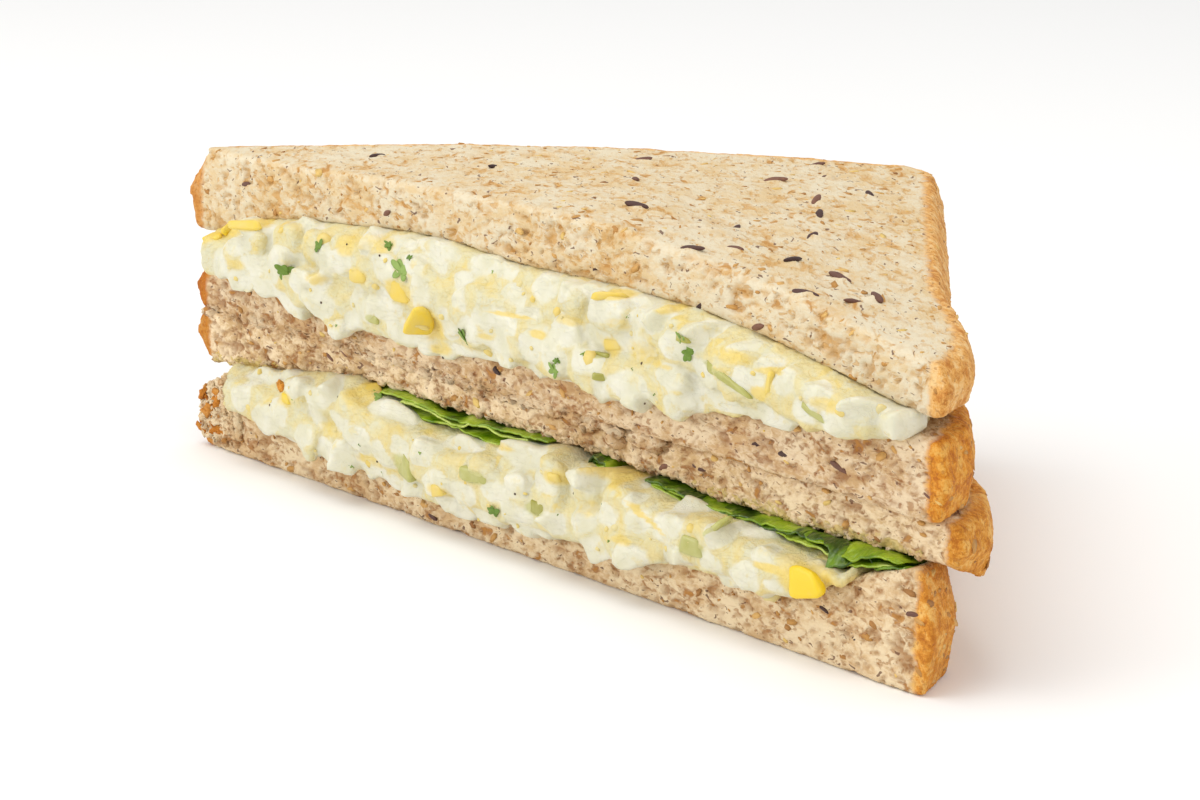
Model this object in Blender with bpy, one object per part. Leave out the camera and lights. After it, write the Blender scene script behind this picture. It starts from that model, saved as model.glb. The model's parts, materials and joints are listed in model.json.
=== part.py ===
# Egg salad sandwich: a loaf sandwich cut from corner to corner, its two halves stacked.
# Metres. +X runs along the long cut, -Y out of the cut face, +Z up, underside at Z = 0.

import math
import random

import bmesh
import bpy
from mathutils import Matrix, Vector, noise

MM = 0.001

# Driving dimensions
SLICE_SIDE = 120.3 * MM        # side of the square loaf slice
HALF_DIAGONAL = SLICE_SIDE / math.sqrt(2.0)
BACK_CORNER_RADIUS = 7.0 * MM  # bottom crust corner, at the back of the half
TIP_CORNER_RADIUS = 8.0 * MM   # bottom crust corner that the cut runs through, at -X
LEFT_TIP = -HALF_DIAGONAL + TIP_CORNER_RADIUS * (math.sqrt(2.0) - 1.0)
LOBE_START = 79.0 * MM         # along the side crust, from the back corner
LOBE_PEAK = 106.5 * MM
LOBE_RADIUS = 22.0 * MM
GAP = 0.3 * MM                 # between neighbours
REACH = 2.5 * MM               # a filling clears its slices this far along the cut
STATION_SPAN = 80.0 * MM       # the outermost stations of every height profile are at +-X
THIRD_TURN = math.radians(0.95)  # the third slice has turned back about its -X tip
OVERHANG = (1.3 * MM, 2.9 * MM)  # out past the plain side, where a slice's end droops
SEED_SIZE = (4.2 * MM, 1.9 * MM, 1.0 * MM)

# Height profiles in mm, at even stations from -80 to +80 mm along the cut.
# "front" lies in the cut face and "back" along the two crust sides. "lobe" is how far the
# loaf's top lobe stands out, "round" how far the top and bottom crust edges are drawn in,
# "tip" the corner radius at -X and "tip_round" how far the edges are drawn in there.
BREAD = {
    "bread_top": {
        "lobe": 3.1, "round": (1.0, 0.4), "tip": 4.8, "tip_round": (3.6, 0.5),
        "front_top": (49.1, 49.5, 50.5, 51.2, 51.8, 51.8, 50.0, 47.8, 44.0),
        "back_top": (49.1, 49.8, 49.9, 49.0, 47.4, 47.0, 46.8, 45.6, 44.0),
        "front_bottom": (35.6, 40.2, 42.4, 43.8, 43.0, 43.3, 42.8, 40.2, 36.8),
        "back_bottom": (35.6, 37.8, 38.4, 38.0, 37.4, 37.4, 37.4, 37.0, 36.4),
    },
    "bread_second": {
        "lobe": 3.1, "round": (0.5, 0.5), "tip": 8.0, "tip_round": (2.6, 0.3),
        "front_top": (30.8, 30.4, 29.4, 28.8, 29.8, 30.2, 31.2, 32.6, 34.0),
        "back_top": (31.6, 33.4, 34.2, 34.2, 34.0, 34.0, 34.2, 34.4, 34.4),
        "front_bottom": (22.9, 23.2, 23.8, 23.9, 23.7, 23.5, 23.6, 23.5, 23.2),
        "back_bottom": (22.9, 23.2, 23.6, 23.8, 23.8, 23.8, 23.6, 23.4, 23.2),
    },
    "bread_third": {
        "lobe": 4.2, "round": (0.5, 0.8), "tip": 8.0, "tip_round": (0.3, 1.6), "end_droop": 4.0,
        "front_top": (22.6, 22.9, 23.5, 23.6, 23.4, 23.2, 23.3, 23.2, 22.9),
        "back_top": (22.6, 22.9, 23.3, 23.5, 23.5, 23.5, 23.3, 23.1, 22.9),
        "front_bottom": (14.6, 16.4, 19.0, 18.6, 18.6, 18.4, 17.2, 17.0, 17.2),
        "back_bottom": (13.8, 13.6, 13.6, 13.6, 13.6, 13.8, 14.6, 16.0, 17.2),
    },
    "bread_bottom": {
        "lobe": 1.4, "round": (2.2, 1.2), "tip": 7.0, "tip_round": (1.4, 0.6),
        "front_top": (10.8, 8.8, 7.6, 6.6, 6.8, 7.8, 8.8, 10.6, 16.7),
        "back_top": (10.8, 10.4, 10.2, 10.2, 10.2, 10.4, 11.0, 12.8, 16.7),
        "front_bottom": (0.0,) * 9,
        "back_bottom": (0.0,) * 9,
    },
}
BREAD_RINGS = (0.965, 0.83, 0.52)
FAN_CENTRE_SHARE = 0.31        # the rings close in on a point this far back from the cut
CRUST_BULGE = 0.9 * MM         # the crust sides stand out at half their height
EDGE_DROP = 0.5 * MM           # rounding of a slice's top and bottom edges
CRUMB_WOBBLE = 0.35 * MM       # dips in the top and bottom faces
CRUMB_SCALE = 9.0 * MM
CUT_WOBBLE = 0.5 * MM          # torn cut face, inwards only
CUT_SCALE = 4.5 * MM
UNDERSIDE_DROP_SHARE = 0.4     # the bottom slice's lower edge is rounded less
TIP_DEPTH = 14.0 * MM          # towards the tips, heights blend over at least this depth

# The two egg salad fillings: their reach along the cut, and how they bulge out of it
FILLING = {
    "egg_salad_upper": {
        "over": "bread_second", "under": "bread_top", "x": (-76.0, 78.5),
        "bulge": 2.0, "droop": (0.4, 1.2, 1.6, 1.8, 1.2, 1.6, 1.4, 1.0, 0.6),
        "pieces": 44, "seed": 11,
    },
    "egg_salad_lower": {
        "over": "bread_bottom", "under": "bread_third", "x": (-72.5, 69.0),
        "bulge": 2.4, "droop": (0.6, 1.4, 1.6, 2.2, 1.8, 1.6, 1.4, 1.6, 0.6),
        "pieces": 40, "seed": 23,
    },
}
FILLING_INSET = 3.0 * MM       # how far it stops short of the crust sides
FILLING_RINGS = (0.93, 0.6)
FILLING_LIP = 0.45 * MM        # the core's edge in front of the cut
FILLING_LUMP = (6.0 * MM, 1.2 * MM)    # scale and height of the lumps along the crust sides
FILLING_SWELL_SCALE = 7.0 * MM
PIECE_LENGTH = (4.5, 9.5)      # chopped egg white, mm
PIECE_WIDTH = (3.0, 6.0)
PIECE_DEPTH = 2.6
PIECE_CLEARANCE = 0.6 * MM     # chopped pieces stay this far in front of the cut

# Lettuce lies between the third slice and the lower filling
LETTUCE = {
    "lettuce_left": {"x": (-38.0, 11.0), "depth": 52.0, "waves": 4.5, "seed": 3},
    "lettuce_right": {"x": (12.0, 75.0), "depth": 46.0, "waves": 5.0, "seed": 8},
}
LETTUCE_SLOT = (0.0, 0.0, 1.3, 2.9, 2.0, 1.9, 2.0, 3.0, 3.2)   # mm, at the cut, same stations
LETTUCE_SLOT_INSIDE = 1.9 * MM
LETTUCE_SLOT_BLEND = 18.0 * MM  # from the cut to where the slot has its inside height
LEAF_THICKNESS = 0.45 * MM
LEAF_EDGE = (1.2 * MM, 1.0 * MM, 9.0 * MM)   # how far it stands out, its ruffle and ruffle scale
LEAF_CLEARANCE = 6.0 * MM      # between a leaf and the crust sides
LEAF_ROUND_END = 0.16          # share of a leaf's length over which its ends round off
LEAF_COLUMNS = 28
LEAF_ROWS = 5

# Seeds that show: on the top face as (x, y) in mm, on a cut face as (x, share of the height)
SEEDS = {
    "bread_top": {
        "seed": 5,
        "top": (
            (-9, 67), (-1, 62), (12, 58), (14, 45), (-8, 29), (12, 12), (33, 26), (35, 2), (37, 8),
            (44, 12), (52, 13), (57, 2), (60, 12), (62, 6), (0, 50), (22, 38), (24, 20), (-24, 44),
            (-30, 20), (-52, 14),
        ),
        "cut": ((-68, 0.6), (-31, 0.3), (16, 0.3), (50, 0.4)),
    },
    "bread_second": {"seed": 6, "cut": ((-5, 0.6), (50, 0.5), (57, 0.35), (66, 0.4))},
    "bread_third": {"seed": 7, "cut": ((-66, 0.7), (-46, 0.75), (37, 0.55))},
    "bread_bottom": {"seed": 9, "cut": ((-21, 0.3), (62, 0.65), (68, 0.45), (77, 0.7))},
}
SEED_SINK = 0.1 * MM           # a seed's middle lies this far under the top face
SEED_INSET = 0.25 * MM         # and this far behind a cut face

COLOURS = {
    "crumb": ((0.76, 0.60, 0.39), 0.85),
    "crumb_shaded": ((0.55, 0.37, 0.19), 0.85),
    "egg_salad": ((0.84, 0.77, 0.45), 0.45),
    "lettuce": ((0.13, 0.24, 0.04), 0.4),
}

FAN_CENTRE = Vector((0.0, FAN_CENTRE_SHARE * HALF_DIAGONAL))


def smooth(t):
    t = min(1.0, max(0.0, t))
    return t * t * (3.0 - 2.0 * t)


# Height of a profile at x, on a smooth curve through its stations
def profile_at(profile, x):
    count = len(profile) - 1
    place = (x / STATION_SPAN + 1.0) * 0.5 * count
    place = min(count - 1e-6, max(0.0, place))
    index = int(place)
    t = place - index
    p1 = profile[index]
    p2 = profile[index + 1]
    p0 = profile[max(0, index - 1)]
    p3 = profile[min(count, index + 2)]
    tangent_1 = 0.5 * (p2 - p0)
    tangent_2 = 0.5 * (p3 - p1)
    rise = t * t * (3.0 - 2.0 * t)
    bend = t * (1.0 - t) * ((1.0 - t) * tangent_1 - t * tangent_2)
    return (p1 + (p2 - p1) * rise + bend) * MM


# 0 in the cut face and 1 at the crust sides
def depth_share(x, y):
    back = max(HALF_DIAGONAL - abs(x), TIP_DEPTH)
    return smooth(y / back)


# A point of a slice's own plan, placed on the sandwich, and the other way round
def place_on_stack(name, x, y):
    if name != "bread_third":
        return x, y
    turned = Matrix.Rotation(THIRD_TURN, 2) @ Vector((x - LEFT_TIP, y))
    return turned.x + LEFT_TIP, turned.y


def place_on_slice(name, x, y):
    if name != "bread_third":
        return x, y
    turned = Matrix.Rotation(-THIRD_TURN, 2) @ Vector((x - LEFT_TIP, y))
    return turned.x + LEFT_TIP, turned.y


# Where a slice's cut face lies at x
def cut_line(name, x):
    return (x - LEFT_TIP) * math.tan(THIRD_TURN) if name == "bread_third" else 0.0


# Top or bottom height of a slice at a point of the plan
def slice_height(name, side, x, y):
    local_x, local_y = place_on_slice(name, x, y)
    front = profile_at(BREAD[name]["front_" + side], local_x)
    back = profile_at(BREAD[name]["back_" + side], local_x)
    share = depth_share(local_x, local_y)
    height = front + (back - front) * share
    if side == "bottom" and "end_droop" in BREAD[name]:
        past = (local_x + local_y - HALF_DIAGONAL) / math.sqrt(2.0)
        start, end = OVERHANG
        height -= BREAD[name]["end_droop"] * MM * smooth((past - start) / (end - start))
    return height


def lobe_bulge(distance, lobe):
    if distance < LOBE_START:
        return 0.0
    if distance < LOBE_PEAK:
        return lobe * smooth((distance - LOBE_START) / (LOBE_PEAK - LOBE_START))
    return lobe - (distance - LOBE_PEAK) ** 2 / (2.0 * LOBE_RADIUS)


# Point on the crust side, at a distance from the back corner towards +X
def side_point(distance, lobe):
    out = lobe_bulge(distance, lobe)
    x = (distance + out) / math.sqrt(2.0)
    y = HALF_DIAGONAL - (distance - out) / math.sqrt(2.0)
    return x, y


# Plan of a slice, from the tip at -X along the cut, then round the crust. Each point is
# (x, y, "cut", "crust" or "tip").
def slice_outline(lobe, tip_radius, cut_points=32, side_points=13, base_points=10):
    left_tip = -HALF_DIAGONAL + tip_radius * (math.sqrt(2.0) - 1.0)
    end = SLICE_SIDE
    while side_point(end, lobe)[1] < 0.0:
        end -= 0.2 * MM
    right_tip = side_point(end, lobe)[0]
    points = [(left_tip, 0.0, "tip")]
    for i in range(1, cut_points):
        share = i / cut_points
        points.append((left_tip + (right_tip - left_tip) * share, 0.0, "cut"))
    for i in range(side_points):
        distance = end + (BACK_CORNER_RADIUS - end) * i / side_points
        points.append((*side_point(distance, lobe), "crust"))
    corner_y = HALF_DIAGONAL - BACK_CORNER_RADIUS * math.sqrt(2.0)
    for i in range(5):
        angle = math.radians(45.0 + 90.0 * i / 4)
        x = BACK_CORNER_RADIUS * math.cos(angle)
        y = corner_y + BACK_CORNER_RADIUS * math.sin(angle)
        points.append((x, y, "crust"))
    base_end = SLICE_SIDE - tip_radius
    for i in range(1, base_points):
        distance = BACK_CORNER_RADIUS + (base_end - BACK_CORNER_RADIUS) * i / base_points
        x = -distance / math.sqrt(2.0)
        points.append((x, HALF_DIAGONAL + x, "crust"))
    centre_x = -HALF_DIAGONAL + tip_radius * math.sqrt(2.0)
    for i in range(3):
        angle = math.radians(135.0 + 45.0 * i / 3)
        x = centre_x + tip_radius * math.cos(angle)
        points.append((x, tip_radius * math.sin(angle), "tip"))
    return points


def wobble(point, scale, amount):
    return amount * noise.noise(Vector(point) / scale)


# Closed body from rings of points: the first and last rings are closed by a fan
def skin_rings(name, rings, top_point, bottom_point):
    mesh = bpy.data.meshes.new(name)
    work = bmesh.new()
    levels = [[work.verts.new(point) for point in ring] for ring in rings]
    top = work.verts.new(top_point)
    bottom = work.verts.new(bottom_point)
    count = len(rings[0])
    for i in range(count):
        j = (i + 1) % count
        work.faces.new((top, levels[0][i], levels[0][j]))
        work.faces.new((bottom, levels[-1][j], levels[-1][i]))
        for upper, lower in zip(levels, levels[1:]):
            work.faces.new((upper[i], lower[i], lower[j], upper[j]))
    bmesh.ops.triangulate(work, faces=work.faces)
    bmesh.ops.recalc_face_normals(work, faces=work.faces)
    work.to_mesh(mesh)
    work.free()
    return mesh


def make_slice(name):
    facts = BREAD[name]
    outline = slice_outline(facts["lobe"] * MM, facts["tip"] * MM)
    centre = FAN_CENTRE
    flat_under = name == "bread_bottom"

    def surface_point(x, y, side, drop):
        px, py = place_on_stack(name, x, y)
        z = slice_height(name, side, px, py)
        if side == "bottom" and flat_under:
            return (px, py, z + UNDERSIDE_DROP_SHARE * drop)
        dip = abs(wobble((px, py, z), CRUMB_SCALE, CRUMB_WOBBLE))
        return (px, py, z - drop - dip if side == "top" else z + drop + dip)

    def inner_ring(side, share):
        places = [centre + (Vector(point[:2]) - centre) * share for point in outline]
        return [surface_point(place.x, place.y, side, 0.0) for place in places]

    def edge_ring(side):
        points = []
        for x, y, kind in outline:
            place = Vector((x, y))
            if kind == "cut":
                place.y += abs(wobble((x, 0.0, HALF_DIAGONAL), CUT_SCALE, CUT_WOBBLE))
            else:
                rounding = facts["tip_round" if kind == "tip" else "round"]
                inset = rounding[0 if side == "top" else 1] * MM
                place -= (place - centre).normalized() * inset
            points.append(surface_point(place.x, place.y, side, EDGE_DROP))
        return points

    def wall():
        points = []
        for (x, y, kind), high, low in zip(outline, edge_ring("top"), edge_ring("bottom")):
            place = Vector((x, y))
            if kind == "cut":
                place.y += abs(wobble((x, 0.0, 0.0), CUT_SCALE, CUT_WOBBLE))
            else:
                place += (place - centre).normalized() * CRUST_BULGE
                place.y = max(place.y, 0.0)
            points.append((*place_on_stack(name, *place), 0.5 * (high[2] + low[2])))
        return points

    rings = [inner_ring("top", share) for share in reversed(BREAD_RINGS)]
    rings += [edge_ring("top"), wall(), edge_ring("bottom")]
    rings += [inner_ring("bottom", share) for share in BREAD_RINGS]
    top_point = surface_point(*centre, "top", 0.0)
    bottom_point = surface_point(*centre, "bottom", 0.0)
    return skin_rings(name, rings, top_point, bottom_point)


# Height of the slot that the lettuce takes between the third slice and the lower filling
def lettuce_slot(x, y):
    front = max(0.0, profile_at(LETTUCE_SLOT, x))
    inside = LETTUCE_SLOT_INSIDE if front > 0.0 else 0.0
    return front + (inside - front) * smooth(y / LETTUCE_SLOT_BLEND)


# Top or bottom height of a filling, which clears its slices a little to both sides of x
def filling_height(name, side, x, y):
    facts = FILLING[name]
    nearby = (x - REACH, x, x + REACH)
    if side == "bottom":
        return max(slice_height(facts["over"], "top", near, max(y, 0.0)) for near in nearby) + GAP
    depth = max(y, cut_line(facts["under"], x))
    z = min(slice_height(facts["under"], "bottom", near, depth) for near in nearby) - GAP
    if facts["under"] == "bread_third":
        z -= lettuce_slot(x, y)
    return z


# Plan of a filling: the cut from -X to +X, then back along the crust sides, moved in.
# Each point is (x, y, at_the_cut).
def filling_outline(name, cut_points=27, side_points=6):
    low_x, high_x = (value * MM for value in FILLING[name]["x"])
    reach = HALF_DIAGONAL - FILLING_INSET * math.sqrt(2.0)
    points = [(low_x + (high_x - low_x) * i / cut_points, 0.0, True) for i in range(cut_points + 1)]
    back = []
    for i in range(side_points + 1):
        x = high_x * (1.0 - i / side_points)
        back.append((x, max(reach - x, 1.5 * MM), False))
    for i in range(1, side_points + 1):
        x = low_x * i / side_points
        back.append((x, max(reach + x, 1.5 * MM), False))
    return points + back


# The core's front stands out of the cut and hangs over the slice below. Each row is
# (share of the height, share of the bulge, share of the droop).
FRONT_ROWS = ((0.06, 0.35, 0.0), (0.35, 0.95, 0.0), (0.75, 1.0, 0.3), (1.0, 0.72, 1.0), (1.0, 0.35, 0.9))


def make_core(name):
    facts = FILLING[name]
    outline = filling_outline(name)
    centre = FAN_CENTRE
    lip = FILLING_LIP
    lump_scale, lump = FILLING_LUMP

    def ring(side, share):
        points = []
        for x, y, at_cut in outline:
            edge = Vector((x, -lip if at_cut else y))
            place = centre + (edge - centre) * share
            z = filling_height(name, side, place.x, place.y)
            points.append((place.x, place.y, z))
        return points

    def row(height_share, bulge_share, droop_share):
        points = []
        for (x, y, at_cut), high, low in zip(outline, ring("top", 1.0), ring("bottom", 1.0)):
            z = high[2] + (low[2] - high[2]) * height_share
            if at_cut:
                swell = 0.75 + wobble((x, z, 0.0), FILLING_SWELL_SCALE, 0.6)
                out = lip + facts["bulge"] * MM * bulge_share * swell
                z -= profile_at(facts["droop"], x) * droop_share
                points.append((x, -out, z))
            else:
                z = high[2] + (low[2] - high[2]) * (0.1 + 0.8 * height_share)
                bump = wobble((x, y, z), lump_scale, lump)
                away = (Vector((x, y)) - centre).normalized() * bump
                points.append((x + away.x, y + away.y, z))
        return points

    rings = [ring("top", share) for share in reversed(FILLING_RINGS)]
    rings.append(ring("top", 1.0))
    rings += [row(*shares) for shares in FRONT_ROWS]
    rings.append(ring("bottom", 1.0))
    rings += [ring("bottom", share) for share in FILLING_RINGS]
    top_point = (*centre, filling_height(name, "top", *centre))
    bottom_point = (*centre, filling_height(name, "bottom", *centre))
    return skin_rings(name, rings, top_point, bottom_point)


# A chopped piece is the hull of a block with jittered corners
def chopped_piece(rng, size, place, turn):
    work = bmesh.new()
    for sx in (-0.5, 0.5):
        for sy in (-0.5, 0.5):
            for sz in (-0.5, 0.5):
                corner = Vector((sx * size[0], sy * size[1], sz * size[2]))
                corner *= rng.uniform(0.72, 1.1)
                work.verts.new(place + turn @ corner)
    bmesh.ops.convex_hull(work, input=work.verts)
    return work


def body_from(work, name, collection):
    bmesh.ops.recalc_face_normals(work, faces=work.faces)
    mesh = bpy.data.meshes.new(name)
    work.to_mesh(mesh)
    work.free()
    body = bpy.data.objects.new(name, mesh)
    collection.objects.link(body)
    return body


# The pieces that show at the cut, largest first, evenly spread with a seeded draw
def scatter_pieces(name, collection):
    facts = FILLING[name]
    rng = random.Random(facts["seed"])
    low_x, high_x = (value * MM for value in facts["x"])
    count = facts["pieces"]
    for i in range(count):
        # a low-discrepancy pair gives the place along the cut and the height
        along = (0.5 + i * 0.618034) % 1.0
        rise = (0.5 + i * 0.754878) % 1.0
        large = 1.0 - i / count
        length = (PIECE_LENGTH[0] + (PIECE_LENGTH[1] - PIECE_LENGTH[0]) * large) * MM
        width = (PIECE_WIDTH[0] + (PIECE_WIDTH[1] - PIECE_WIDTH[0]) * large) * MM
        x = low_x + 4.0 * MM + (high_x - low_x - 9.0 * MM) * along
        top = filling_height(name, "top", x, 0.0)
        bottom = filling_height(name, "bottom", x, 0.0) - profile_at(facts["droop"], x)
        margin = 0.38 * width
        if top - bottom < 2.0 * margin + 1.0 * MM:
            width = (top - bottom) * 0.6
            margin = 0.3 * width
        z = bottom + margin + (top - bottom - 2.0 * margin) * rise
        place = Vector((x, -(2.0 + 0.5 * rng.random()) * MM, z))
        tilt = Matrix.Rotation(rng.uniform(-0.5, 0.5), 3, "Y")
        turn = tilt @ Matrix.Rotation(rng.uniform(-0.25, 0.25), 3, "Z")
        work = chopped_piece(rng, (length, PIECE_DEPTH * MM, width), place, turn)
        ceiling = min(filling_height(name, "top", v.co.x, 0.0) for v in work.verts)
        for vert in work.verts:
            vert.co.y = min(vert.co.y, -PIECE_CLEARANCE - 0.3 * MM * rng.random())
            if facts["under"] == "bread_third":
                vert.co.z = min(vert.co.z, ceiling - 0.3 * MM * rng.random())
        body_from(work, name + "_piece", collection)


# Linseeds pressed into a slice, as low ellipsoids
def scatter_seeds(name, collection):
    facts = SEEDS[name]
    rng = random.Random(facts["seed"])
    placed = []
    for x_mm, y_mm in facts.get("top", ()):
        x = x_mm * MM
        y = y_mm * MM
        place = Vector((x, y, slice_height(name, "top", x, y) - SEED_SINK))
        placed.append((place, Matrix.Rotation(rng.uniform(0.0, math.pi), 4, "Z")))
    upright = Matrix.Rotation(math.radians(90.0), 4, "X")
    for x_mm, rise in facts["cut"]:
        x = x_mm * MM
        cut = cut_line(name, x)
        top = slice_height(name, "top", x, cut)
        bottom = slice_height(name, "bottom", x, cut)
        place = Vector((x, cut + SEED_INSET, bottom + (top - bottom) * rise))
        placed.append((place, upright @ Matrix.Rotation(rng.uniform(-0.35, 0.35), 4, "Z")))
    size = Matrix.Diagonal((*SEED_SIZE, 1.0))
    for place, turn in placed:
        work = bmesh.new()
        bmesh.ops.create_uvsphere(work, u_segments=6, v_segments=4, radius=0.5)
        bmesh.ops.transform(work, matrix=Matrix.Translation(place) @ turn @ size, verts=work.verts)
        body_from(work, name + "_seed", collection)


# Joins the loose bodies of a collection to an object, then removes them. The exact solver
# leaves open edges where chopped pieces lie across each other, so this uses MANIFOLD.
def fuse(target, collection):
    modifier = target.modifiers.new("fuse", "BOOLEAN")
    modifier.operation = "UNION"
    modifier.operand_type = "COLLECTION"
    modifier.collection = collection
    modifier.solver = "MANIFOLD"
    graph = bpy.context.evaluated_depsgraph_get()
    joined = bpy.data.meshes.new_from_object(target.evaluated_get(graph))
    target.modifiers.remove(modifier)
    target.data = joined
    for body in list(collection.objects):
        bpy.data.objects.remove(body)
    bpy.data.collections.remove(collection)
    keep_largest_piece(joined)


# Joins the flat faces that a union splits, and drops the scraps that it leaves
def keep_largest_piece(mesh):
    work = bmesh.new()
    work.from_mesh(mesh)
    bmesh.ops.dissolve_limit(work, angle_limit=math.radians(0.5), verts=work.verts, edges=work.edges)
    bmesh.ops.triangulate(work, faces=work.faces)
    seen = set()
    shells = []
    for start in work.faces:
        if start in seen:
            continue
        shell = []
        stack = [start]
        seen.add(start)
        while stack:
            face = stack.pop()
            shell.append(face)
            for edge in face.edges:
                for other in edge.link_faces:
                    if other not in seen:
                        seen.add(other)
                        stack.append(other)
        shells.append(shell)
    shells.sort(key=len)
    for shell in shells[:-1]:
        bmesh.ops.delete(work, geom=shell, context="FACES")
    work.to_mesh(mesh)
    work.free()


# A leaf is a thin wavy sheet in the slot above the lower filling
def make_leaf(name):
    facts = LETTUCE[name]
    low_x, high_x = (value * MM for value in facts["x"])
    columns = LEAF_COLUMNS
    rows = LEAF_ROWS
    stand_out, ruffle, ruffle_scale = LEAF_EDGE

    def leaf_point(i, j):
        along = i / columns
        x = low_x + (high_x - low_x) * along
        end = min(along, 1.0 - along)
        rounding = math.sqrt(max(0.0, 1.0 - (1.0 - min(1.0, end / LEAF_ROUND_END)) ** 2))
        front = wobble((x, facts["seed"] * ruffle_scale, 0.0), ruffle_scale, ruffle) - stand_out
        room = HALF_DIAGONAL - abs(x) - LEAF_CLEARANCE
        back = front + min(facts["depth"] * MM, room) * (0.25 + 0.75 * rounding)
        inward = (j / rows) ** 1.5
        y = front + (back - front) * inward
        slot_top = slice_height("bread_third", "bottom", x, max(y, cut_line("bread_third", x))) - GAP
        slot = lettuce_slot(x, y)
        free = max(0.1 * MM, slot - LEAF_THICKNESS - 2.0 * GAP)
        wave = math.sin(along * facts["waves"] * 2.0 * math.pi + 2.2 * inward)
        level = 0.5 + 0.45 * wave * (0.6 if j else 1.0)
        z = slot_top - GAP - free * (1.0 - level)
        nearby = (x - REACH, x, x + REACH)
        floor = max(slice_height("bread_bottom", "top", near, max(y, 0.0)) for near in nearby)
        return Vector((x, y, max(z, floor + GAP + LEAF_THICKNESS)))

    mesh = bpy.data.meshes.new(name)
    work = bmesh.new()
    grid = []
    for i in range(columns + 1):
        line = []
        for j in range(rows + 1):
            upper = leaf_point(i, j)
            lower = upper - Vector((0.0, 0.0, LEAF_THICKNESS))
            line.append((work.verts.new(upper), work.verts.new(lower)))
        grid.append(line)
    for i in range(columns):
        for j in range(rows):
            a, b, c, d = grid[i][j], grid[i + 1][j], grid[i + 1][j + 1], grid[i][j + 1]
            for side, order in ((0, (0, 1, 2)), (1, (0, 2, 1))):
                for corners in ((a, b, c), (a, c, d)):
                    work.faces.new([corners[k][side] for k in order])
    rim = [grid[i][0] for i in range(columns + 1)]
    rim += [grid[columns][j] for j in range(1, rows + 1)]
    rim += [grid[i][rows] for i in range(columns - 1, -1, -1)]
    rim += [grid[0][j] for j in range(rows - 1, 0, -1)]
    for this, following in zip(rim, rim[1:] + rim[:1]):
        work.faces.new((this[0], this[1], following[1]))
        work.faces.new((this[0], following[1], following[0]))
    bmesh.ops.recalc_face_normals(work, faces=work.faces)
    work.to_mesh(mesh)
    work.free()
    return mesh


def make_material(name):
    colour, roughness = COLOURS[name]
    material = bpy.data.materials.new(name)
    material.use_nodes = True
    shader = material.node_tree.nodes["Principled BSDF"]
    shader.inputs["Base Color"].default_value = (*colour, 1.0)
    shader.inputs["Roughness"].default_value = roughness
    shader.inputs["Metallic"].default_value = 0.0
    return material


def add_part(name, mesh, material):
    mesh.materials.clear()
    mesh.materials.append(material)
    part = bpy.data.objects.new(name, mesh)
    bpy.context.scene.collection.objects.link(part)
    return part


# The origin is the middle of the whole sandwich's underside
def centre_on_origin(parts):
    corners = [part.matrix_world @ vert.co for part in parts for vert in part.data.vertices]
    middle_x = 0.5 * (min(c.x for c in corners) + max(c.x for c in corners))
    middle_y = 0.5 * (min(c.y for c in corners) + max(c.y for c in corners))
    lowest = min(c.z for c in corners)
    move = Matrix.Translation((-middle_x, -middle_y, -lowest))
    for part in parts:
        part.data.transform(move)


def main():
    for old in list(bpy.data.objects):
        bpy.data.objects.remove(old)
    materials = {name: make_material(name) for name in COLOURS}
    parts = []
    for name in BREAD:
        material = materials["crumb" if name == "bread_top" else "crumb_shaded"]
        part = add_part(name, make_slice(name), material)
        seeds = bpy.data.collections.new(name + "_seeds")
        bpy.context.scene.collection.children.link(seeds)
        scatter_seeds(name, seeds)
        fuse(part, seeds)
        parts.append(part)
    for name in FILLING:
        part = add_part(name, make_core(name), materials["egg_salad"])
        pieces = bpy.data.collections.new(name + "_pieces")
        bpy.context.scene.collection.children.link(pieces)
        scatter_pieces(name, pieces)
        fuse(part, pieces)
        parts.append(part)
    for name in LETTUCE:
        parts.append(add_part(name, make_leaf(name), materials["lettuce"]))
    centre_on_origin(parts)


main()
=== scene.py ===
import json
import math
import random

import bmesh
import bpy
import numpy as np
from mathutils import Matrix, Vector, noise
from mathutils.bvhtree import BVHTree

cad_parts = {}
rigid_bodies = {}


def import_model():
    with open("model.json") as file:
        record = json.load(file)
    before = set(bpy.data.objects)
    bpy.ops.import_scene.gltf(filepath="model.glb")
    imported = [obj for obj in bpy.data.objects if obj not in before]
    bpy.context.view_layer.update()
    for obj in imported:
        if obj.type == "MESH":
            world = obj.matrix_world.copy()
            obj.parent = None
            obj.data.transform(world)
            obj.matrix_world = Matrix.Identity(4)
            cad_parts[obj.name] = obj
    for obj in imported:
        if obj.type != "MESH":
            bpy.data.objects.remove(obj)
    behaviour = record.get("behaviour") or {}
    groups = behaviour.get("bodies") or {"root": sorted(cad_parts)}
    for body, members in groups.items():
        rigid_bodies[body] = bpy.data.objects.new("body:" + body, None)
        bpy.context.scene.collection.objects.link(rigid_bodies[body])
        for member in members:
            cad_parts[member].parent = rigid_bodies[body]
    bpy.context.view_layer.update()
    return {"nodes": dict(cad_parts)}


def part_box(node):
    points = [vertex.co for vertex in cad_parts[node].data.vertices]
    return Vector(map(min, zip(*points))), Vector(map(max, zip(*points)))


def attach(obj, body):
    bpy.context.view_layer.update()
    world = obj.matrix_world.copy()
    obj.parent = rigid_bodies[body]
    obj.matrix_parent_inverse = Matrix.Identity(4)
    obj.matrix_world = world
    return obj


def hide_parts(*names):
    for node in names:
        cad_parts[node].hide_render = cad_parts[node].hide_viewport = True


# Egg salad sandwich: bread with an open crumb, chopped egg in its dressing, and lettuce.
# Metres, +X along the long cut, -Y out of the cut face, +Z up.
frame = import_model()
nodes = frame["nodes"]
mm = 0.001

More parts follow.
